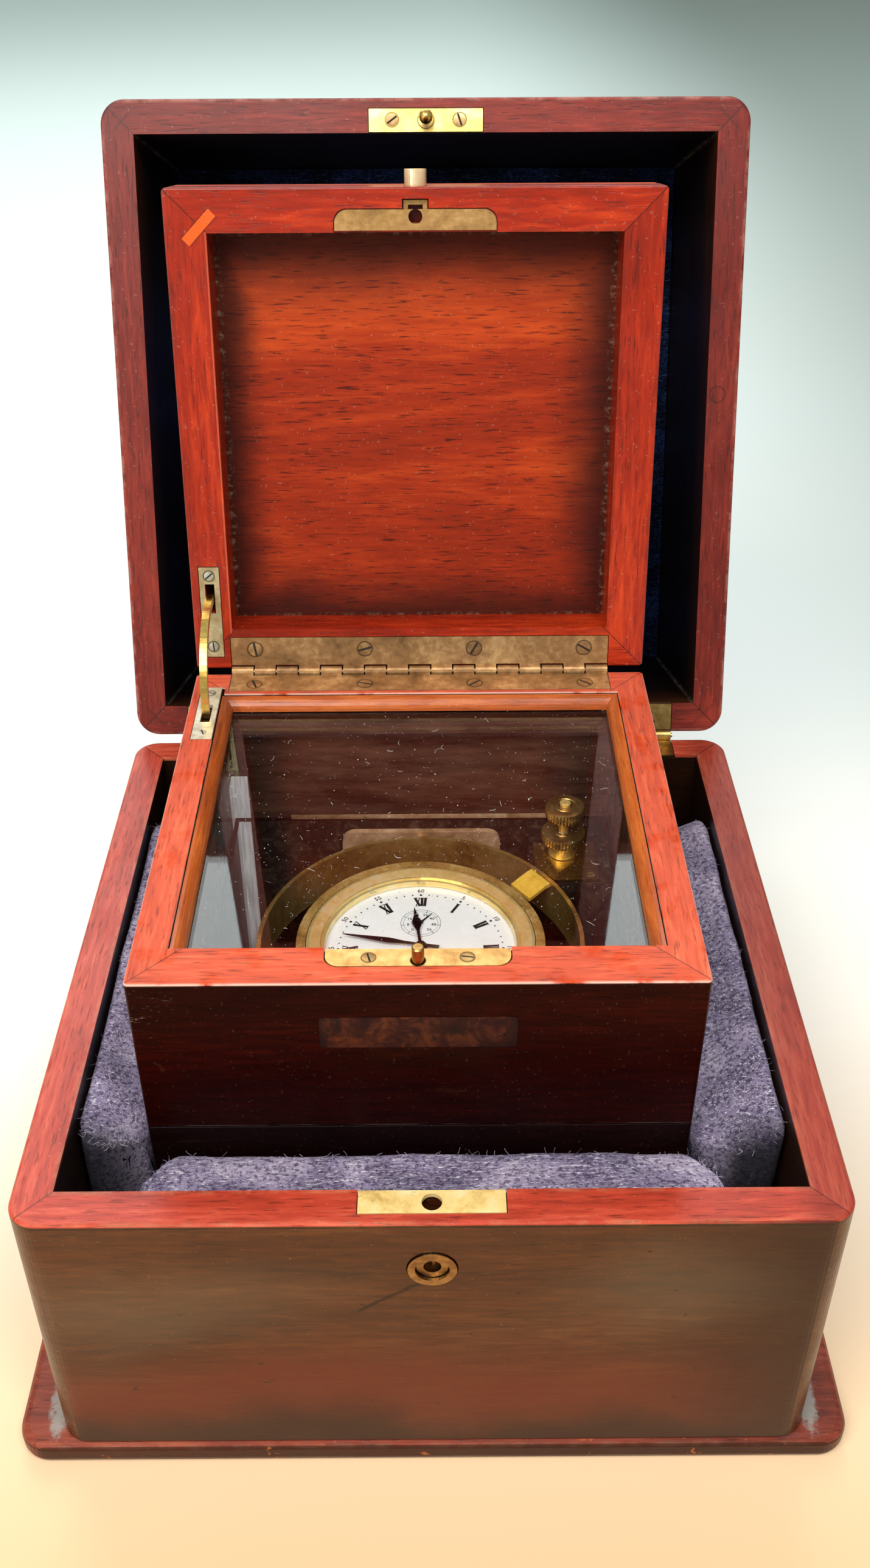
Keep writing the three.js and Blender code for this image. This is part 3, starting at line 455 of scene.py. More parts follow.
def enamel(name):
    look = Look(name, Coat_Weight=0.6, Coat_Roughness=0.05)
    at = look.shut(INNER)
    cloud = look.noise(at, 60, 4, 0.5)
    color = look.ramp(cloud, [(0.3, hue("fafaf6")), (0.7, hue("fefefd"))])
    fleck = look.spread(look.noise(at, 1600, 2, 0.5), 0.72, 0.78)
    look.color(look.mix(look.math("MULTIPLY", fleck, 0.4), color, hue("8a8378")))
    look.rough(look.spread(cloud, 0.3, 0.7, (0.2, 0.32)))
    look.bump(look.noise(at, 300, 3, 0.5), 0.05, 0.0001)
    return look.data


def ink(name, dark="08080c", light="1c1d24"):
    look = Look(name)
    at = look.shut(INNER)
    look.color(look.ramp(look.noise(at, 900, 4, 0.7), [(0.5, hue(dark)), (0.85, hue(light))]))
    look.rough(look.spread(look.noise(at, 400, 3, 0.6), 0.3, 0.7, (0.35, 0.6)))
    return look.data


def blued(name):
    look = Look(name, Metallic=1.0)
    at = look.shut(INNER)
    color = look.ramp(look.noise(at, 200, 4, 0.6), [(0.35, hue("05070d")), (0.55, hue("10162a")), (0.75, hue("2a3150"))])
    look.color(color)
    look.rough(look.spread(look.noise(at, 500, 3, 0.6), 0.3, 0.7, (0.22, 0.4)))
    return look.data


def stage_material():
    look = Look("studio_floor", Specular_IOR_Level=0.2)
    at = look.node("TexCoord", {}).outputs["Object"]
    x, y = look.split(at)[:2]
    sweep = look.math("DIVIDE", look.math("ADD", y, 0.8), 3.4)
    soft = look.noise(at, 6, 3, 0.5)
    color = look.ramp(sweep, [(0.0, hue("ece8e0")), (0.10, hue("e6cfb2")), (0.176, hue("dcae7e")),
                              (0.206, hue("e8c8a2")), (0.26, hue("f2eadf")), (0.34, hue("e9eeec")),
                              (0.6, hue("e6f1ed")), (1.0, hue("e2f4ee"))])
    color = look.mix(look.math("MULTIPLY", soft, 0.05), color, hue("c8c8b8"))
    # Painted shadow: the floor darkens to the right rear.
    right_rear_shade = look.math("MULTIPLY", look.spread(x, 0.0, 0.6), look.spread(y, 0.0, 0.4))
    look.color(look.mix(look.math("MULTIPLY", right_rear_shade, 0.8), color, hue("7c8680")))
    look.rough(look.spread(soft, 0.3, 0.7, (0.75, 0.9)))
    return look.data


# ------------------------------------------------------------------ materials of the CAD nodes
DARK_RED = ("060202", "100404", "1c0806")
MAROON = ("0a0101", "200402", "3a0a05")
RIM_RED = ("2c0805", "6c1c10", "9c3422")
# Lighter rim-top colours: partly the rims' redder wood, partly painted light on the faces that look up.
LIT_RED_CASE_RIM = ("5c150c", "ac3a26", "de6c50")
BROWN = ("1e0c06", "4c260f", "70431f")
ORANGE = ("480c03", "8e2007", "c84012")
# Lighter top-face colours of the middle tier: partly its redder wood, partly painted light.
LIT_RED_BOX_RIM = ("7c200c", "bc4220", "ea744a")
PANEL = ("380a03", "882406", "c04a14")
BEAD = ("5c260c", "a04a18", "cc7434")
GOLD = ("f6dc90", "e0bc64", "b88d3e")
PLATE = ("f6e0a0", "e2c270", "b8944c")
AGED = ("cfae6c", "a07e48", "66502a")
DULL = ("d2aa74", "987046", "604426")


def case_cracks_and_shade(look, at, xyz, color):
    """A drying crack down the case front beside the lock, with painted sheen and painted shade on the case, and darker
    patches low on the walls.
    """
    x, y, z = xyz
    lean = look.math("SUBTRACT", look.math("ADD", x, 0.004), look.math("MULTIPLY", look.math("SUBTRACT", z, 0.093), 1.38))
    wander = look.math("MULTIPLY", look.math("SUBTRACT", look.noise(at, 260, 4, 0.7), 0.5), 0.006)
    line = look.near(look.math("ADD", lean, wander), 0.0, 0.0020)
    inside = look.math("MULTIPLY", look.spread(z, 0.078, 0.081), look.spread(z, 0.092, 0.0955, (1.0, 0.0)))
    front = look.math("LESS_THAN", y, -0.1195)
    mark = look.math("MULTIPLY", look.math("MULTIPLY", line, inside), front)
    uneven = look.math("ADD", z, look.math("MULTIPLY", look.math("SUBTRACT", look.noise(at, 14, 4, 0.6), 0.5), 0.05))
    ruddy = look.math("MULTIPLY", look.spread(uneven, 0.040, 0.072, (1.0, 0.0)), front)
    color = look.mix(look.math("MULTIPLY", ruddy, 0.75), color, hue("5c1802"))
    # Darker towards the bottom, and painted shade down the right side of the front, away from the light.
    dark = look.math("MULTIPLY", look.math("MAXIMUM", look.spread(uneven, 0.012, 0.036, (1.0, 0.0)), look.spread(x, 0.050, 0.118)), front)
    color = look.mix(look.math("MULTIPLY", dark, 0.8), color, hue("1c0602"))
    # Painted sheen: grey-olive patches high on the front, left and right, stand for a reflection.
    painted_sheen = look.math("MULTIPLY", look.math("MULTIPLY", look.near(uneven, 0.088, 0.026), look.math("MAXIMUM", look.near(x, -0.085, 0.09), look.near(x, 0.070, 0.050))), front)
    color = look.mix(look.math("MULTIPLY", painted_sheen, 0.3), color, hue("6c5c46"))
    dings = look.math("MULTIPLY", look.spread(look.noise(look.stretch(at, 0.6, 1, 1), 210, 3, 0.6), 0.70, 0.73), front)
    color = look.mix(look.math("MULTIPLY", dings, 0.7), color, hue("180a05"))
    color = look.mix(look.math("MULTIPLY", mark, 0.92), color, hue("120703"))
    # Painted shade: the rim top over the right wall is darker, away from the light.
    right = look.math("MULTIPLY", look.spread(x, 0.100, 0.110), look.math("GREATER_THAN", z, 0.119))
    color = look.mix(look.math("MULTIPLY", right, 0.45), color, hue("4a1006"))
    # Painted shade: the inside faces of the case walls, below the rim, are darkened.
    square = look.math("MAXIMUM", look.math("ABSOLUTE", x), look.math("ABSOLUTE", y))
    hollow_shade = look.math("MULTIPLY", look.math("LESS_THAN", square, 0.1083), look.math("LESS_THAN", z, 0.1188))
    color = look.mix(look.math("MULTIPLY", hollow_shade, 0.85), color, hue("120704"))
    # Painted shadow: a dark broken line just under the rim's edge.
    under_rim_shadow = look.math("MULTIPLY", look.near(z, 0.1186, 0.0007), look.spread(look.noise(at, 60, 4, 0.6), 0.3, 0.5))
    color = look.mix(look.math("MULTIPLY", under_rim_shadow, 0.8), color, hue("140805"))
    # Darker in patches towards the bottom of the walls.
    low_darkening = look.math("MULTIPLY", look.spread(z, 0.010, 0.030, (1.0, 0.0)), look.noise(at, 70, 5, 0.7))
    return look.mix(look.math("MULTIPLY", low_darkening, 0.6), color, hue("22140d"))


def base_wear(look, at, xyz, color):
    """Polish is gone from the base by the case's front corners, and chips show pale at the edges."""
    x, y, z = xyz
    corner = look.math("MULTIPLY", look.near(look.math("ABSOLUTE", x), 0.1225, 0.008), look.near(y, -0.104, 0.030))
    patch = look.spread(look.math("MULTIPLY", corner, look.noise(at, 260, 6, 0.8)), 0.24, 0.40)
    color = look.mix(look.math("MULTIPLY", patch, 0.7), color, hue("8f9088"))
    edge = look.math("LESS_THAN", y, -0.1205)
    color = look.mix(look.math("MULTIPLY", edge, 0.75), color, hue("280c05"))
    chips = look.math("MULTIPLY", look.near(y, -0.121, 0.004), look.spread(look.noise(at, 90, 6, 0.8), 0.62, 0.66))
    return look.mix(look.math("MULTIPLY", chips, 0.7), color, hue("b5602c"))


def lid_marks(look, at, xyz, color):
    """Keys let into the mitres of the outer lid, and a filled peg hole on its right side."""
    x, y, z = xyz
    rim = look.near(z, 0.1205, 0.003)
    across = look.math("ADD", look.math("ABSOLUTE", x), look.math("ABSOLUTE", y))
    gap = look.math("SUBTRACT", look.math("ABSOLUTE", x), look.math("ABSOLUTE", y))
    for place in (0.2245, 0.2335):
        key = look.math("MULTIPLY", look.near(across, place, 0.0010), look.near(gap, 0.0, 0.0105))
        key = look.math("MULTIPLY", look.spread(key, 0.04, 0.3), rim)
        color = look.mix(look.math("MULTIPLY", key, 0.35), color, hue("2a100b"))
    dx, dy = look.math("SUBTRACT", x, 0.1120), look.math("SUBTRACT", y, -0.014)
    away = look.math("SQRT", look.math("ADD", look.math("MULTIPLY", dx, dx), look.math("MULTIPLY", dy, dy)))
    peg = look.math("MULTIPLY", look.near(away, 0.0030, 0.0006), rim)
    return look.mix(look.math("MULTIPLY", peg, 0.6), color, hue("1e0b08"))


def lid_patch(look, at, xyz, color):
    """A key of paler wood let in across the mitre at the inner lid's left front corner."""
    x, y, z = xyz
    dx, dy = look.math("ADD", x, 0.0706), look.math("ADD", y, 0.0700)
    along = look.math("ABSOLUTE", look.math("SUBTRACT", dx, dy))
    across = look.math("ABSOLUTE", look.math("ADD", dx, dy))
    rim = look.near(z, 0.1762, 0.003)
    key = look.math("MULTIPLY", look.spread(along, 0.0090, 0.0093, (1, 0)), look.spread(across, 0.0023, 0.0026, (1, 0)))
    color = look.mix(look.math("MULTIPLY", look.math("MULTIPLY", key, rim), 0.7), color, hue("e8601c"))
    edge = look.math("MULTIPLY", look.near(across, 0.0026, 0.0006), look.spread(along, 0.0093, 0.0096, (1, 0)))
    color = look.mix(look.math("MULTIPLY", look.math("MULTIPLY", edge, rim), 0.6), color, hue("3a1006"))
    thin = look.math("MULTIPLY", look.near(x, -0.0686, 0.0004), look.near(z, 0.1764, 0.0016))
    thin = look.math("MULTIPLY", thin, look.math("LESS_THAN", look.math("ABSOLUTE", y), 0.0686))
    return look.mix(look.math("MULTIPLY", thin, 0.4), color, hue("e07048"))


def corner_reflection_strip(look, at, xyz, color, top):
    """A painted reflection of a window: a pale strip up the box's left rear inside corner, up to the height top."""
    x, y, z = xyz
    inside = look.math("MULTIPLY", look.math("LESS_THAN", x, -0.0655), look.math("GREATER_THAN", x, -0.0721))
    inside = look.math("MULTIPLY", inside, look.math("MULTIPLY", look.math("GREATER_THAN", y, 0.063), look.math("LESS_THAN", y, 0.0722)))
    inside = look.math("MULTIPLY", inside, look.math("MULTIPLY", look.math("GREATER_THAN", z, 0.0245), look.math("LESS_THAN", z, top)))
    pale = look.ramp(look.noise(look.stretch(at, 1, 1, 0.08), 700, 4, 0.6), [(0.36, hue("c4c8c8")), (0.6, hue("fbffff"))])
    return look.mix(inside, color, pale)


def lined(look, at, xyz, color):
    """The tier's inside faces are painted a mottled blackish green; outside the wood shows."""
    x, y, z = xyz
    square = look.math("MAXIMUM", look.math("ABSOLUTE", x), look.math("ABSOLUTE", y))
    within = look.math("MULTIPLY", look.math("LESS_THAN", square, 0.0702),
                       look.math("MULTIPLY", look.math("GREATER_THAN", z, 0.0245), look.math("LESS_THAN", z, 0.1168)))
    mottle = look.ramp(look.noise(at, 190, 6, 0.7, 0.8),
                       [(0.34, hue("0c0b0a")), (0.5, hue("1e1a16")), (0.66, hue("44382c"))])
    chips = look.spread(look.noise(at, 330, 4, 0.7), 0.63, 0.70)
    mottle = look.mix(look.math("MULTIPLY", chips, 0.5), mottle, hue("6a6a52"))
    # Adds the painted window reflection up the left rear corner.
    return corner_reflection_strip(look, at, xyz, look.mix(within, color, mottle), 0.1166)


def tier_marks(look, at, xyz, color):
    """Pale scratches round the front left mitre of the middle tier, and a painted highlight along its top edge."""
    x, y, z = xyz
    corner = look.math("MULTIPLY", look.near(x, -0.078, 0.012), look.near(z, 0.168, 0.012))
    front = look.math("LESS_THAN", y, -0.0815)
    scratch = look.spread(look.noise(look.stretch(at, 0.35, 1, 1.5, turn=(0, 0.8, 0)), 420, 5, 0.8), 0.60, 0.68)
    mark = look.math("MULTIPLY", look.math("MULTIPLY", corner, front), scratch)
    color = look.mix(look.math("MULTIPLY", mark, 0.8), color, hue("c9a890"))
    # Painted highlight: a broken pale line along the tier's top edge.
    arris = look.math("MULTIPLY", look.near(z, 0.1753, 0.0006), look.spread(look.noise(at, 90, 4, 0.6), 0.3, 0.5))
    color = look.mix(look.math("MULTIPLY", arris, 0.75), color, hue("f2c8b8"))
    seam = look.math("MULTIPLY", look.near(z, 0.1175, 0.0004), look.spread(look.noise(at, 40, 3, 0.6), 0.45, 0.6))
    color = look.mix(look.math("MULTIPLY", seam, 0.7), color, hue("b09a90"))
    square = look.math("MAXIMUM", look.math("ABSOLUTE", x), look.math("ABSOLUTE", y))
    inner = look.math("MULTIPLY", look.math("LESS_THAN", square, 0.0745), look.math("LESS_THAN", z, 0.1665))
    worn = look.ramp(look.noise(look.stretch(at, 0.2, 1, 1), 120, 5, 0.7), [(0.35, hue("24140e")), (0.65, hue("5e4334"))])
    color = look.mix(look.math("MULTIPLY", inner, 0.8), color, worn)
    # Adds the painted window reflection up the left rear corner.
    return corner_reflection_strip(look, at, xyz, color, 0.137)


def bottom_shade(look, at, color):
    """Painted shade darkens the wool low down between the box and the case, and at the side pads' front ends."""
    z = look.split(at)[2]
    deep = look.spread(z, 0.070, 0.108, (1.0, 0.0))
    x, y = look.split(at)[:2]
    # Painted shade at the side pads' front ends.
    corner = look.math("MULTIPLY", look.spread(y, -0.087, -0.068, (1.0, 0.0)), look.spread(look.math("ABSOLUTE", x), 0.082, 0.094))
    return look.mix(look.math("MAXIMUM", look.math("MULTIPLY", deep, 0.75), look.math("MULTIPLY", corner, 0.95)), color, hue("0c0a10"))


def lid_inside_shade(look, at, xyz, color):
    """Painted shade darkens the lid's inside, more so towards its ceiling."""
    x, y, z = xyz
    square = look.math("MAXIMUM", look.math("ABSOLUTE", x), look.math("ABSOLUTE", y))
    within = look.math("MULTIPLY", look.math("LESS_THAN", square, 0.1083), look.math("GREATER_THAN", z, 0.1215))
    # Painted shade: deeper into the lid, and over its front wall, which hangs overhead when the lid is open.
    overhead = look.math("LESS_THAN", y, -0.1075)
    depth = look.math("MAXIMUM", look.spread(z, 0.118, 0.150, (0.45, 0.95)), look.math("MULTIPLY", overhead, 0.93))
    color = look.mix(look.math("MULTIPLY", within, depth), color, hue("0a0504"))
    gap = look.math("SUBTRACT", look.math("ABSOLUTE", x), look.math("ABSOLUTE", y))
    dust = look.math("MULTIPLY", look.near(gap, 0.0, 0.0016), look.spread(look.noise(at, 300, 5, 0.7), 0.42, 0.56))
    color = look.mix(look.math("MULTIPLY", look.math("MULTIPLY", dust, within), 0.55), color, hue("8d8474"))
    return lid_marks(look, at, xyz, color)


def panel_shade(look, at, xyz, color):
    """Painted shade darkens the panel's underside near the frame, most of all along its front and left edges, and pale
    dust lies along the frame.
    """
    x, y, z = xyz
    uneven = look.math("MULTIPLY", look.math("SUBTRACT", look.noise(at, 35, 4, 0.6), 0.5), 0.016)
    shadow = None
    sides = ((look.math("ADD", y, 0.068), 0.030), (look.math("ADD", x, 0.068), 0.016),
             (look.math("SUBTRACT", 0.068, x), 0.022), (look.math("SUBTRACT", 0.067, y), 0.018))
    for distance, reach in sides:
        edge = look.spread(look.math("ADD", distance, uneven), 0.001, reach * 1.2, (1.0, 0.0))
        shadow = edge if shadow is None else look.math("MAXIMUM", shadow, edge)
    # Painted shade, on the underside only, where the frame's recess shades the panel.
    under = look.math("LESS_THAN", z, 0.1928)
    shadow = look.math("MULTIPLY", shadow, under)
    color = look.mix(look.math("MULTIPLY", shadow, 0.88), color, hue("260803"))
    square = look.math("MAXIMUM", look.math("ABSOLUTE", x), look.math("ABSOLUTE", y))
    dusty = look.math("MULTIPLY", look.spread(square, 0.0655, 0.068), look.spread(look.noise(at, 400, 5, 0.75), 0.50, 0.62))
    return look.mix(look.math("MULTIPLY", look.math("MULTIPLY", dusty, under), 0.5), color, hue("8a745c"))


def dress_cad():
    dress(wood("case_front_wood", CASE, "mitred", BROWN, 0.36, 0.3, edges=((0.1195, 0.12), (0.1085, 0.12)),
               wear="c2946a", mitre=0.12, finish=case_cracks_and_shade, coat=0.1, shine=0.25, rim=(LIT_RED_CASE_RIM, 0.1192, 1)), "case_walls")
    dress(wood("base_wood", CASE, "x", ("2a0e08", "561a0c", "7c3018"), 0.4, 1.7,
               edges=((0.1345, 0.008), (0.1205, 0.008)), wear="cbaa88", wear_amount=0.15,
               rim=(("3e1810", "7c3422", "a8583e"), 0.0080, 1), finish=base_wear, shine=0.25), "base_board")
    dress(wood("lid_rim_wood", OUTER_LID, "mitred", BROWN, 0.4, 2.9, rim=(RIM_RED, 0.1214, -1),
               edges=((0.1195, 0.1205),), wear="c89480", wear_amount=0.3, mitre=0.1205,
               finish=lid_inside_shade, coat=0.1, shine=0.25), "lid_walls")
    dress(wood("lid_top_wood", OUTER_LID, "x", BROWN, 0.36, 4.1, edges=((0.119, 0.2308),), coat=0.15), "lid_top")
    dress(wood("lower_tier_wood", INNER, "mitred", DARK_RED, 0.35, 5.3, finish=lined, shine=0.04, flecks=0.02), "lower_tier_walls")
    dress(wood("tier_bottom_wood", INNER, "x", DARK_RED, 0.4, 6.7, finish=lined), "lower_tier_bottom")
    dress(wood("middle_tier_wood", INNER, "mitred", MAROON, 0.28, 7.9,
               wear="d08a5c", mitre=0.1758, finish=tier_marks, shine=0.04, flecks=0.025,
               rim=(LIT_RED_BOX_RIM, 0.1751, 1)), "middle_tier_frame")
    dress(wood("bead_wood", INNER, "mitred", BEAD, 0.3, 8.8, pores=0.3, coat=0.3), "glazing_bead")
    dress(wood("inner_lid_wood", INNER_LID, "mitred", ORANGE, 0.3, 9.4,
               edges=((0.0815, 0.1762), (0.0685, 0.1762)), wear="5a2010", wear_amount=0.4, mitre=0.1762,
               finish=lid_patch, coat=0.12, shine=0.25), "inner_lid_frame")
    dress(wood("panel_wood", INNER_LID, "x", PANEL, 0.6, 10.6, pores=0.7, figure=0.7, finish=panel_shade, shine=0.15),
          "inner_lid_panel")
    dress(felt("navy_felt", OUTER_LID, ("050a18", "0c1730", "182850"), 0.1, "3a4a78"), "lid_lining")
    dress(brass("case_brass", CASE, ("fff0b8", "fcd888", "c4964a"), 0.36, 0.4, 0.7, metal=0.35), "strike_plate")
    dress(brass("case_hinge_brass", CASE, AGED, 0.34, 0.6, 0.6), "case_hinge_leaf_left",
          "case_hinge_leaf_right", "case_hinge_pin_left", "case_hinge_pin_right", "lock_bolt")
    dress(brass("escutcheon_brass", CASE, ("c4a470", "846848", "48341f"), 0.26, 0.9, 0.6), "lock_escutcheon", "lock_barrel")
    dress(brass("lid_brass", OUTER_LID, PLATE, 0.32, 1.3, 0.4,
                rings=((-12.5, CATCH_Y, 2.45), (12.5, CATCH_Y, 2.45), (0, CATCH_Y, 3.0))), "lid_catch_plate")
    dress(brass("lid_hinge_brass", OUTER_LID, AGED, 0.34, 1.5, 0.6), "lid_hinge_leaf_left", "lid_hinge_leaf_right")
    dress(brass("catch_stud_brass", OUTER_LID, GOLD, 0.22, 1.9, 0.3), "lid_catch_stud")
    dress(brass("bearing_brass", INNER, ("f0c8a0", "c89c74", "7c5c38"), 0.32, 2.2, 0.4, metal=0.45), "gimbal_bearing_front", "gimbal_bearing_rear",
          "tier_hinge_lower_leaf", "tier_hinge_upper_leaf")
    dress(brass("corner_plate_brass", INNER, PLATE, 0.3, 2.8, 0.25, brushed=(0.08, 1.6, 1.0)), "lock_corner_plate")
    dress(brass("lock_brass", INNER, ("ffe094", "d0a858", "806028"), 0.26, 3.1, 0.5, metal=0.5), "lock_post",
          "lock_cap", "lock_nut")
    dress(brass("arm_brass", INNER, GOLD, 0.24, 3.7, 0.3), "lock_arm", "stay_arc")
    dress(brass("plate_brass", INNER, ("f0c888", "d0a05c", "8c6834"), 0.34, 4.0, 0.4,
                rings=((-14, -71.7, 2.05), (14, -71.7, 2.05), (0, -73, 2.1)), metal=0.6), "stud_plate")
    dress(brass("foot_brass", INNER, ("f0ece0", "ccc4ac", "8c8468"), 0.36, 4.1, 0.4, metal=0.4,
                rings=((-75.3, 68.8, 1.7),)), "stay_rim_plate")
    dress(brass("stud_brass", INNER, AGED, 0.3, 4.2, 0.6), "catch_stud")
    hinge_rings = [(x, 74.8, 2.75) for x in PIANO_SCREWS]
    dress(brass("piano_brass", INNER, DULL, 0.36, 4.6, 0.5, rings=hinge_rings, metal=0.5),
          "piano_hinge_lower_leaf", "piano_hinge_pin")
    dress(brass("piano_lid_brass", INNER_LID, DULL, 0.38, 5.2, 0.5, rings=hinge_rings, metal=0.5),
          "piano_hinge_upper_leaf")
    dress(brass("lid_plate_brass", INNER_LID, ("e0b880", "b88c54", "7e5c34"), 0.34, 5.8, 0.5, metal=0.7), "hole_plate",
          "latch_slide")
    dress(brass("stay_plate_brass", INNER_LID, ("d8d0b4", "a89870", "766844"), 0.36, 6.0, 0.5,
                rings=((-75.3, 47.0, 1.95), (-75.3, 73.6, 1.95)), metal=0.5), "stay_lid_plate")
    dress(brass("button_brass", INNER_LID, ("f6dcb4", "e4bf8c", "b89464"), 0.28, 6.1, 0.2, metal=0.6), "push_button")
    dress(brass("ring_brass", INNER, ("ffe09a", "d8b060", "8c6c34"), 0.2, 6.9, 0.2, metal=0.85), "gimbal_ring")
    dress(brass("bridge_brass", INNER, ("ffe880", "ffd050", "dca830"), 0.3, 7.0, 0.1, metal=0.4), "ring_bridge")
    dress(brass("bezel_brass", INNER, ("fff4c8", "f8dc90", "dcb460"), 0.16, 7.3, 0.05, metal=0.6), "bezel")
    dress(brass("bowl_brass", INNER, ("f4d890", "c89c54", "705428"), 0.26, 7.7, 0.5, metal=0.55), "bowl", "movement")
    dress(blued("blued_steel"), "hour_hand", "minute_hand", "seconds_hand", "reserve_hand")
    dress(pane("window_glass", INNER, 1.0), "glass_pane")
    dress(pane("crystal_glass", INNER, 0.35), "crystal")
    dress(enamel("enamel"), "dial")


# ------------------------------------------------------------------ wool pads
def evaluated(obj):
    return bpy.data.meshes.new_from_object(obj.evaluated_get(bpy.context.evaluated_depsgraph_get()))


def swell(obj, cap):
    """Blows the cloth up with a little pressure, and stops each point at cap metres."""
    scene = bpy.context.scene
    start = [v.co.copy() for v in obj.data.vertices]
    cloth = obj.modifiers.new("cloth", "CLOTH")
    cloth.settings.quality = 5
    cloth.settings.use_pressure = True
    cloth.settings.uniform_pressure_force = 4
    cloth.settings.effector_weights.gravity = 0
    cloth.point_cache.frame_start, cloth.point_cache.frame_end = 1, 20
    for step in range(1, 21):
        scene.frame_set(step)
        bpy.context.view_layer.update()
    swollen = evaluated(obj)
    obj.modifiers.remove(cloth)
    for v, old, new in zip(obj.data.vertices, start, swollen.vertices):
        move = new.co - old
        if move.length > cap:
            move *= cap / move.length
        v.co = old + move
    bpy.data.meshes.remove(swollen)
    scene.frame_set(1)


def follow_top(obj, node, low, high):
    """Brings the top of a swollen pad back to its solid's slope, with rounded edges and dropped ends."""
    solid = BVHTree.FromPolygons([v.co for v in NODES[node].data.vertices],
                                 [list(f.vertices) for f in NODES[node].data.polygons])
    skin = BVHTree.FromPolygons([v.co for v in obj.data.vertices], [list(f.vertices) for f in obj.data.polygons])
    down, above = Vector((0, 0, -1)), high.z + 0.05
    long_axis = 0 if high.x - low.x > high.y - low.y else 1
    for v in obj.data.vertices:
        inset = [min(max(v.co[i], low[i] + 0.0012), high[i] - 0.0012) for i in range(2)]
        plan = solid.ray_cast(Vector((inset[0], inset[1], above)), down)[0]
        here = skin.ray_cast(Vector((v.co.x, v.co.y, above)), down)[0]
        if plan is None or here is None:
            continue
        drop = 0.0
        for i, reach, fall in ((1 - long_axis, 0.0035, 0.0022), (long_axis, 0.016, 0.0065)):
            edge = min(v.co[i] - low[i], high[i] - v.co[i])
            drop += fall * max(0.0, 1 - edge / reach) ** 2
        top = max(0.0, min(1.0, (v.co.z - here.z + 0.030) / 0.030))
        v.co.z += (plan.z - drop - here.z) * top


def pad(name, node, keep_top, seed, material, squeeze=(0.985, 0.97, 0.985), follow=True):
    """A stuffed wool pad in the room of its CAD solid: crowned on top, flat where the walls press it."""
    low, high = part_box(node)
    middle = (low + high) / 2
    data = NODES[node].data.copy()
    for v in data.vertices:
        v.co = middle + Vector([(v.co[i] - middle[i]) * squeeze[i] for i in range(3)])
    obj = bpy.data.objects.new(name, data)
    bpy.context.scene.collection.objects.link(obj)
    remesh = obj.modifiers.new("remesh", "REMESH")
    remesh.mode = "VOXEL"
    remesh.voxel_size = 0.0045
    obj.data = evaluated(obj)
    obj.modifiers.clear()
    swell(obj, 0.006)
    if follow:
        follow_top(obj, node, low, high)
    for v in obj.data.vertices:
        at = v.co
        lump = noise.noise(at * 55 + Vector((seed, 0, 0))) * 0.0011 + noise.noise(at * 150 + Vector((0, seed, 0))) * 0.0005
        top = max(0.0, min(1.0, (at.z - high.z + 0.030) / 0.030))
        at.z += lump * top * 1.4
        at.x = min(max(at.x + lump * top * 0.5, low.x + 0.0001), high.x - 0.0001)
        at.y = min(max(at.y + lump * top * 0.5, low.y + 0.0001), high.y - 0.0001)
        at.z = max(at.z, low.z)
        if at.z > high.z + keep_top:
            at.z = high.z + keep_top
    smooth = obj.modifiers.new("subdivision", "SUBSURF")
    smooth.levels = smooth.render_levels = 1
    obj.data = evaluated(obj)
    obj.modifiers.clear()
    obj.data.materials.clear()
    obj.data.materials.append(material)
    for face in obj.data.polygons:
        face.use_smooth = True
    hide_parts(node)
    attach(obj, "case")
    return obj


def add_fuzz(pads, material):
    """Loose wool fibres that stand off the tops of the pads, as thin bent ribbons."""
    rng = random.Random(7)
    bm = bmesh.new()
    for obj in pads:
        faces = [f for f in obj.data.polygons if f.normal.z > 0.35 and f.center.z > 0.085]
        for _ in range(min(420, len(faces))):
            face = rng.choice(faces)
            root = face.center * 1000
            heading = rng.uniform(0, math.tau)
            along = Vector((math.cos(heading), math.sin(heading), rng.uniform(0.0, 0.22)))
            side = Vector((-along.y, along.x, 0)).normalized() * rng.uniform(0.03, 0.06)
            length, bend = rng.uniform(0.9, 2.8), rng.uniform(-0.5, 0.5)
            rows = []
            for k in range(4):
                t = k / 3
                at = root + along * length * t + side.normalized() * bend * t * t * length
                at.z = root.z + (0.25 + along.z * length * t * (1.3 - t))
                rows.append(at)
            for a, b in zip(rows, rows[1:]):
                ring_stack(bm, [[p + side, p + Vector((0, 0, 0.05)), p - side] for p in (a, b)])
    return piece("wool_fibres", bm, CASE, "case", material)


def add_pads():
    wool = felt("wool_felt", CASE, ("6a5e78", "877a96", "a99bb2"), 0.02, "f0eaf2", shade=bottom_shade)
    low = felt("under_wool", CASE, ("2b2833", "3d3948", "4c4758"), 0.2)
    tops = [pad("pad_left", "case_left_pad", 0.002, 1.3, wool), pad("pad_right", "case_right_pad", 0.002, 2.9, wool),
            pad("pad_front", "case_front_pad", 0.002, 4.7, wool), pad("pad_rear", "case_rear_pad", 0.001, 6.1, wool)]
    pad("pad_bottom", "case_bottom_pad", 0.0, 8.3, low, (0.99, 0.99, 0.9), follow=False)
    add_fuzz(tops, felt("wool_fibre", CASE, ("8d869c", "aaa3b6", "c6c0d0"), 0.3))


# ------------------------------------------------------------------ screws, nut, label and dial printing
def screws(name, heads, place, body, colors, seed):
    bm = bmesh.new()
    for at, normal, radius, angle in heads:
        screw(bm, Vector(at), normal, radius, angle)
    obj = piece(name, bm, place, body, brass(name + "_metal", place, colors, 0.34, seed, 0.5, metal=0.6))
    obj.data.materials.append(brass(name + "_slot", place, ("1c1208", "120b05", "080402"), 0.8, seed, metal=0.0))
    return obj


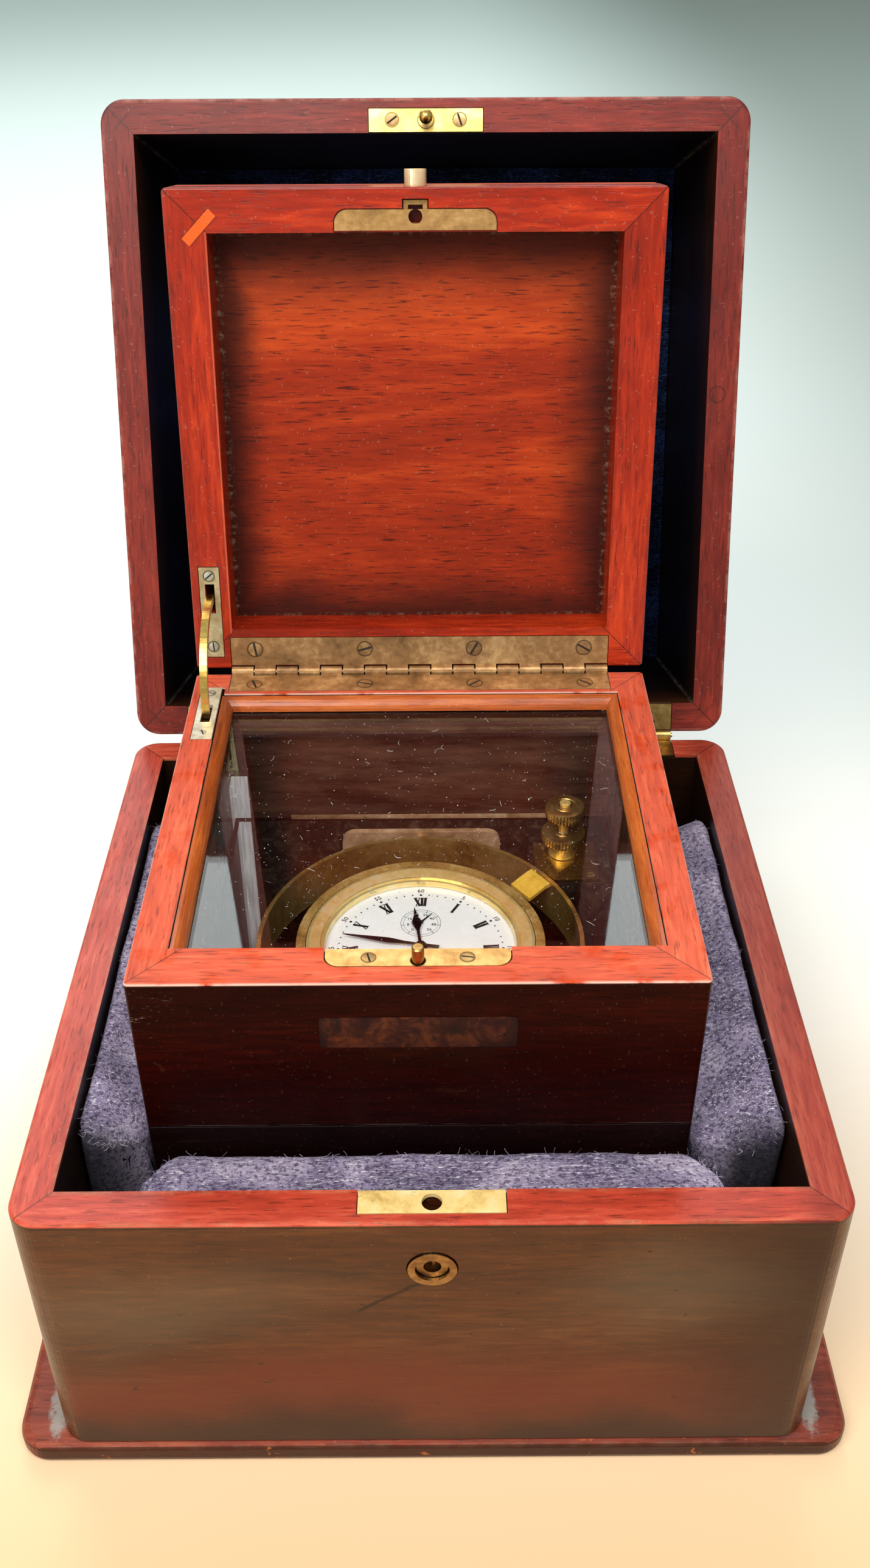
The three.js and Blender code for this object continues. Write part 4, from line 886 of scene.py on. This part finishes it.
def add_screws():
    up, down = (0, 0, 1), (0, 0, -1)
    screws("piano_screws_lower", [((x, 74.8, 175.83), up, 2.5, a) for x, a in zip(PIANO_SCREWS, (20, 75, 130, 50))],
           INNER, "middle_tier", DULL, 11.0)
    screws("piano_screws_upper", [((x, 74.8, 176.17), down, 2.5, a) for x, a in zip(PIANO_SCREWS, (100, 15, 60, 150))],
           INNER_LID, "inner_lid", DULL, 12.0)
    screws("catch_plate_screws", [((x, CATCH_Y, 120.47), down, 2.2, a) for x, a in ((-12.5, 35), (12.5, 110))],
           OUTER_LID, "outer_lid", DULL, 13.0)
    screws("stud_plate_screws", [((x, -71.7, 175.83), up, 1.8, a) for x, a in ((-14, 15), (14, 80))],
           INNER, "middle_tier", AGED, 15.0)
    pale = ("d8d6cc", "a9a594", "6f6a58")
    screws("stay_lid_screws", [((-75.3, y, 176.17), down, 1.7, a) for y, a in ((47.0, 40), (73.6, 95))],
           INNER_LID, "inner_lid", pale, 17.0)
    screws("stay_rim_screws", [((-75.3, y, 175.83), up, 1.5, a) for y, a in ((43.6, 20), (68.8, 70))],
           INNER, "middle_tier", pale, 18.0)
    heads = [((x, 114.5, 120.03), up, 2.0, a) for x, a in ((-91, 20), (-62, 70), (62, 120), (91, 45))]
    screws("case_hinge_screws", heads, CASE, "case", DULL, 19.0)
    heads = [((x, 114.5, 120.47), down, 2.0, a) for x, a in ((-91, 50), (-62, 10), (62, 80), (91, 140))]
    screws("lid_hinge_screws", heads, OUTER_LID, "outer_lid", DULL, 20.0)
    screws("corner_plate_screws", [((46.5, 52.5, 117.03), up, 1.5, 30), ((62.2, 36.2, 117.03), up, 1.5, 100)],
           INNER, "inner_box", AGED, 21.0)


def knurled(name, node, radius, low, high, grooves, place_at):
    """A turned collar with straight knurling, chamfered at both ends, with a hole down its middle."""
    bm = bmesh.new()
    steps = grooves * 2
    cx, cy = place_at
    rings = []
    span = high - low
    profile = [(2.35, low), (radius - 0.9, low), (radius - 0.25, low + 0.25), (radius, low + 0.6, 1),
               (radius, low + span * 0.46, 1), (radius - 0.55, low + span * 0.50), (radius, low + span * 0.54, 1),
               (radius, high - 0.6, 1), (radius - 0.25, high - 0.25), (radius - 0.9, high), (4.3, high),
               (4.1, high - 0.25), (3.7, high - 0.25), (3.5, high), (2.35, high)]
    for r, z, *cut in profile:
        ring = []
        for i in range(steps):
            a = math.tau * i / steps
            reach = r - (0.32 if cut and i % 2 else 0.0)
            ring.append((cx + reach * math.cos(a), cy + reach * math.sin(a), z))
        rings.append(ring)
    rows = [[bm.verts.new(p) for p in ring] for ring in rings]
    for a, b in zip(rows, rows[1:] + rows[:1]):
        for i in range(steps):
            j = (i + 1) % steps
            bm.faces.new((a[i], a[j], b[j], b[i]))
    body = "lock_nut" if node == "lock_nut" else "inner_box"
    metal = brass(name + "_metal", INNER, ("e0bc78", "a88248", "5c4420"), 0.3, high / 100, 0.5, metal=0.9)
    obj = piece(name, bm, INNER, body, metal)
    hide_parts(node)


def add_label():
    bm = bmesh.new()
    outline = rounded(28.25, 5.95, 1.2)
    rings = []
    for inset, lift in ((0, 0.02), (0, 0.22), (0.15, 0.30)):
        ring = []
        for u, w in outline:
            k = 1 - inset / 28
            wave = 0.03 * math.sin(u * 0.5) + 0.02 * math.sin(w * 1.7 + u)
            ring.append((u * k, -82.0 - lift - (wave if lift > 0.1 else 0), 156.6 + w * (1 - inset / 6)))
        rings.append(ring)
    ring_stack(bm, rings)
    look = Look("faded_label", Specular_IOR_Level=0.15)
    at = look.shut(INNER)
    x, y, z = look.split(at)
    base = look.ramp(look.noise(at, 120, 6, 0.7, 0.6), [(0.34, hue("140403")), (0.5, hue("2a0c06")), (0.66, hue("502410"))])
    rubbed = look.spread(look.noise(at, 330, 5, 0.75), 0.55, 0.66)
    base = look.mix(look.math("MULTIPLY", rubbed, 0.7), base, hue("180705"))
    ends = look.spread(look.math("ADD", look.math("ABSOLUTE", x),
                                 look.math("MULTIPLY", rubbed, 0.003)), 0.024, 0.028)
    look.color(look.mix(look.math("MULTIPLY", ends, 0.8), base, hue("180504")))
    look.plug(look.shader.inputs["Metallic"], look.spread(rubbed, 0, 1, (0.1, 0.0)))
    look.rough(look.spread(look.noise(at, 200, 4, 0.6), 0.3, 0.7, (0.42, 0.65)))
    look.bump(rubbed, 0.3, 0.0001)
    piece("blank_label", bm, INNER, "middle_tier", look.data)


STROKES = {
    "I": (([(0, -1), (0, 1)], 1.0),),
    "V": (([(-0.8, 1), (0, -1)], 1.0), ([(0.8, 1), (0, -1)], 0.4)),
    "X": (([(-0.8, 1), (0.8, -1)], 1.0), ([(0.8, 1), (-0.8, -1)], 0.4)),
}
WIDTHS = {"I": 1.15, "V": 1.95, "X": 1.95}
HOURS = ("XII", "I", "II", "III", "IIII", "V", "VI", "VII", "VIII", "IX", "X", "XI")


def roman(bm, text, angle, radius, half, stroke, z):
    """Upright Roman numerals set round the dial, with thin serif bars at head and foot."""
    total = sum(WIDTHS[c] for c in text)
    at = -total / 2
    turn = Matrix.Rotation(-math.radians(angle), 2)

    def spot(u, v):
        squeeze = 1 + 0.12 * v
        p = turn @ Vector((u * squeeze, radius + v * half))
        return (p.x, p.y)

    for c in text:
        middle = at + WIDTHS[c] / 2
        for path, weight in STROKES[c]:
            bar(bm, [spot(middle + u, v) for u, v in path], stroke * weight, z)
        at += WIDTHS[c]
    for v in (-1, 1):
        bar(bm, [spot(-total / 2 - 0.1, v), spot(total / 2 + 0.1, v)], 0.24, z)


def arc(bm, x, y, radius, width, z, start=0, stop=360, steps=96):
    count = max(3, int(steps * (stop - start) / 360))
    for i in range(count):
        a, b = (math.radians(start + (stop - start) * (i + k) / count) for k in (0, 1))
        quad = [(x + r * math.sin(t), y + r * math.cos(t)) for r, t in
                ((radius - width / 2, a), (radius + width / 2, a), (radius + width / 2, b), (radius - width / 2, b))]
        ring_stack(bm, [[(p, q, z) for p, q in quad], [(p, q, z + 0.03) for p, q in quad]])


def digits(bm, text, x, y, size, z, angle=0.0):
    """Plain numbers, centred on a point."""
    curve = bpy.data.curves.new("digits", "FONT")
    curve.body = text
    curve.size = size
    curve.align_x, curve.align_y = "CENTER", "CENTER"
    curve.extrude = 0.015
    curve.offset = size * 0.012
    curve.resolution_u = 2
    holder = bpy.data.objects.new("digits", curve)
    bpy.context.scene.collection.objects.link(holder)
    bpy.context.view_layer.update()
    data = evaluated(holder)
    data.transform(Matrix.Translation((x, y, z + 0.015)) @ Matrix.Rotation(-math.radians(angle), 4, "Z"))
    bm.from_mesh(data)
    bpy.data.meshes.remove(data)
    bpy.data.objects.remove(holder)
    bpy.data.curves.remove(curve)


def add_dial_printing():
    bm = bmesh.new()
    z = 114.01
    for i, text in enumerate(HOURS):
        if text in ("XII", "VI"):
            radius, half = 24.9, 2.2
        else:
            radius, half = 24.5, 2.6
        roman(bm, text, i * 30, radius, half, 1.0, z)
    for i in range(60):
        a = math.radians(i * 6)
        size = 0.5 if i % 5 == 0 else 0.3
        ring = [(28.7 * math.sin(a) + size * math.cos(t), 28.7 * math.cos(a) + size * math.sin(t))
                for t in (math.tau * k / 10 for k in range(10))]
        ring_stack(bm, [[(p, q, z) for p, q in ring], [(p, q, z + 0.03) for p, q in ring]])
    for i in range(1, 13):
        a = math.radians(i * 30)
        digits(bm, str(i * 5), 31.0 * math.sin(a), 31.0 * math.cos(a), 2.6, z, i * 30)
    small = 7.1
    for cy in (-13.4, 13.4):
        arc(bm, 0, cy, small, 0.14, z)
        arc(bm, 0, cy, small - 1.0, 0.10, z)
    for i in range(60):
        a = math.radians(i * 6)
        inner = small - (1.0 if i % 5 else 1.35)
        bar(bm, [(inner * math.sin(a), -13.4 + inner * math.cos(a)), (small * math.sin(a), -13.4 + small * math.cos(a))],
            0.1 if i % 5 else 0.2, z)
    for i in range(1, 7):
        a = math.radians(i * 60)
        digits(bm, str(i * 10), 4.6 * math.sin(a), -13.4 + 4.6 * math.cos(a), 1.9, z)
    for i in range(8):
        a = math.radians(-140 + i * 40)
        bar(bm, [((small - 1.3) * math.sin(a), 13.4 + (small - 1.3) * math.cos(a)),
                 (small * math.sin(a), 13.4 + small * math.cos(a))], 0.2, z)
        digits(bm, str(i * 8), 4.6 * math.sin(a), 13.4 + 4.6 * math.cos(a), 1.8, z)
    piece("dial_printing", bm, INNER, "bowl", ink("dial_ink"))


def add_lint():
    """Dust threads and crumbs that lie on the glass and the bead."""
    rng = random.Random(23)
    bm = bmesh.new()
    for _ in range(46):
        x, y, a = rng.uniform(-64, 64), rng.uniform(-62, 62), rng.uniform(0, math.tau)
        length, bend = rng.uniform(0.8, 3.4), rng.uniform(-1.2, 1.2)
        rows = []
        for k in range(5):
            t = k / 4 - 0.5
            turn = a + bend * t
            rows.append(Vector((x + math.cos(turn) * length * t, y + math.sin(turn) * length * t, 170.25)))
        side = Vector((-math.sin(a), math.cos(a), 0)) * 0.045
        for p, q in zip(rows, rows[1:]):
            ring_stack(bm, [[r + side, r + Vector((0, 0, 0.07)), r - side] for r in (p, q)])
    for _ in range(90):
        x, y, size = rng.uniform(-66, 66), rng.uniform(-64, 66), rng.uniform(0.08, 0.22)
        ring = [(x + size * rng.uniform(0.6, 1.3) * math.cos(t), y + size * rng.uniform(0.6, 1.3) * math.sin(t))
                for t in (math.tau * k / 6 for k in range(6))]
        ring_stack(bm, [[(p, q, 170.22) for p, q in ring], [(x + (p - x) * 0.6, y + (q - y) * 0.6, 170.4) for p, q in ring]])
    piece("glass_lint", bm, INNER, "middle_tier", felt("lint", INNER, ("b5b0a6", "cfcac0", "e6e2da"), 0.1, "f0ece4"))


add_camera()
add_stage()
dress_cad()
add_pads()
add_screws()
knurled("nut_knurled", "lock_nut", 8.15, 125.6, 129.6, 44, (52.5, 46.5))
knurled("cap_knurled", "lock_cap", 7.15, 136.5, 141.0, 40, (52.5, 46.5))
add_label()
add_dial_printing()
add_lint()
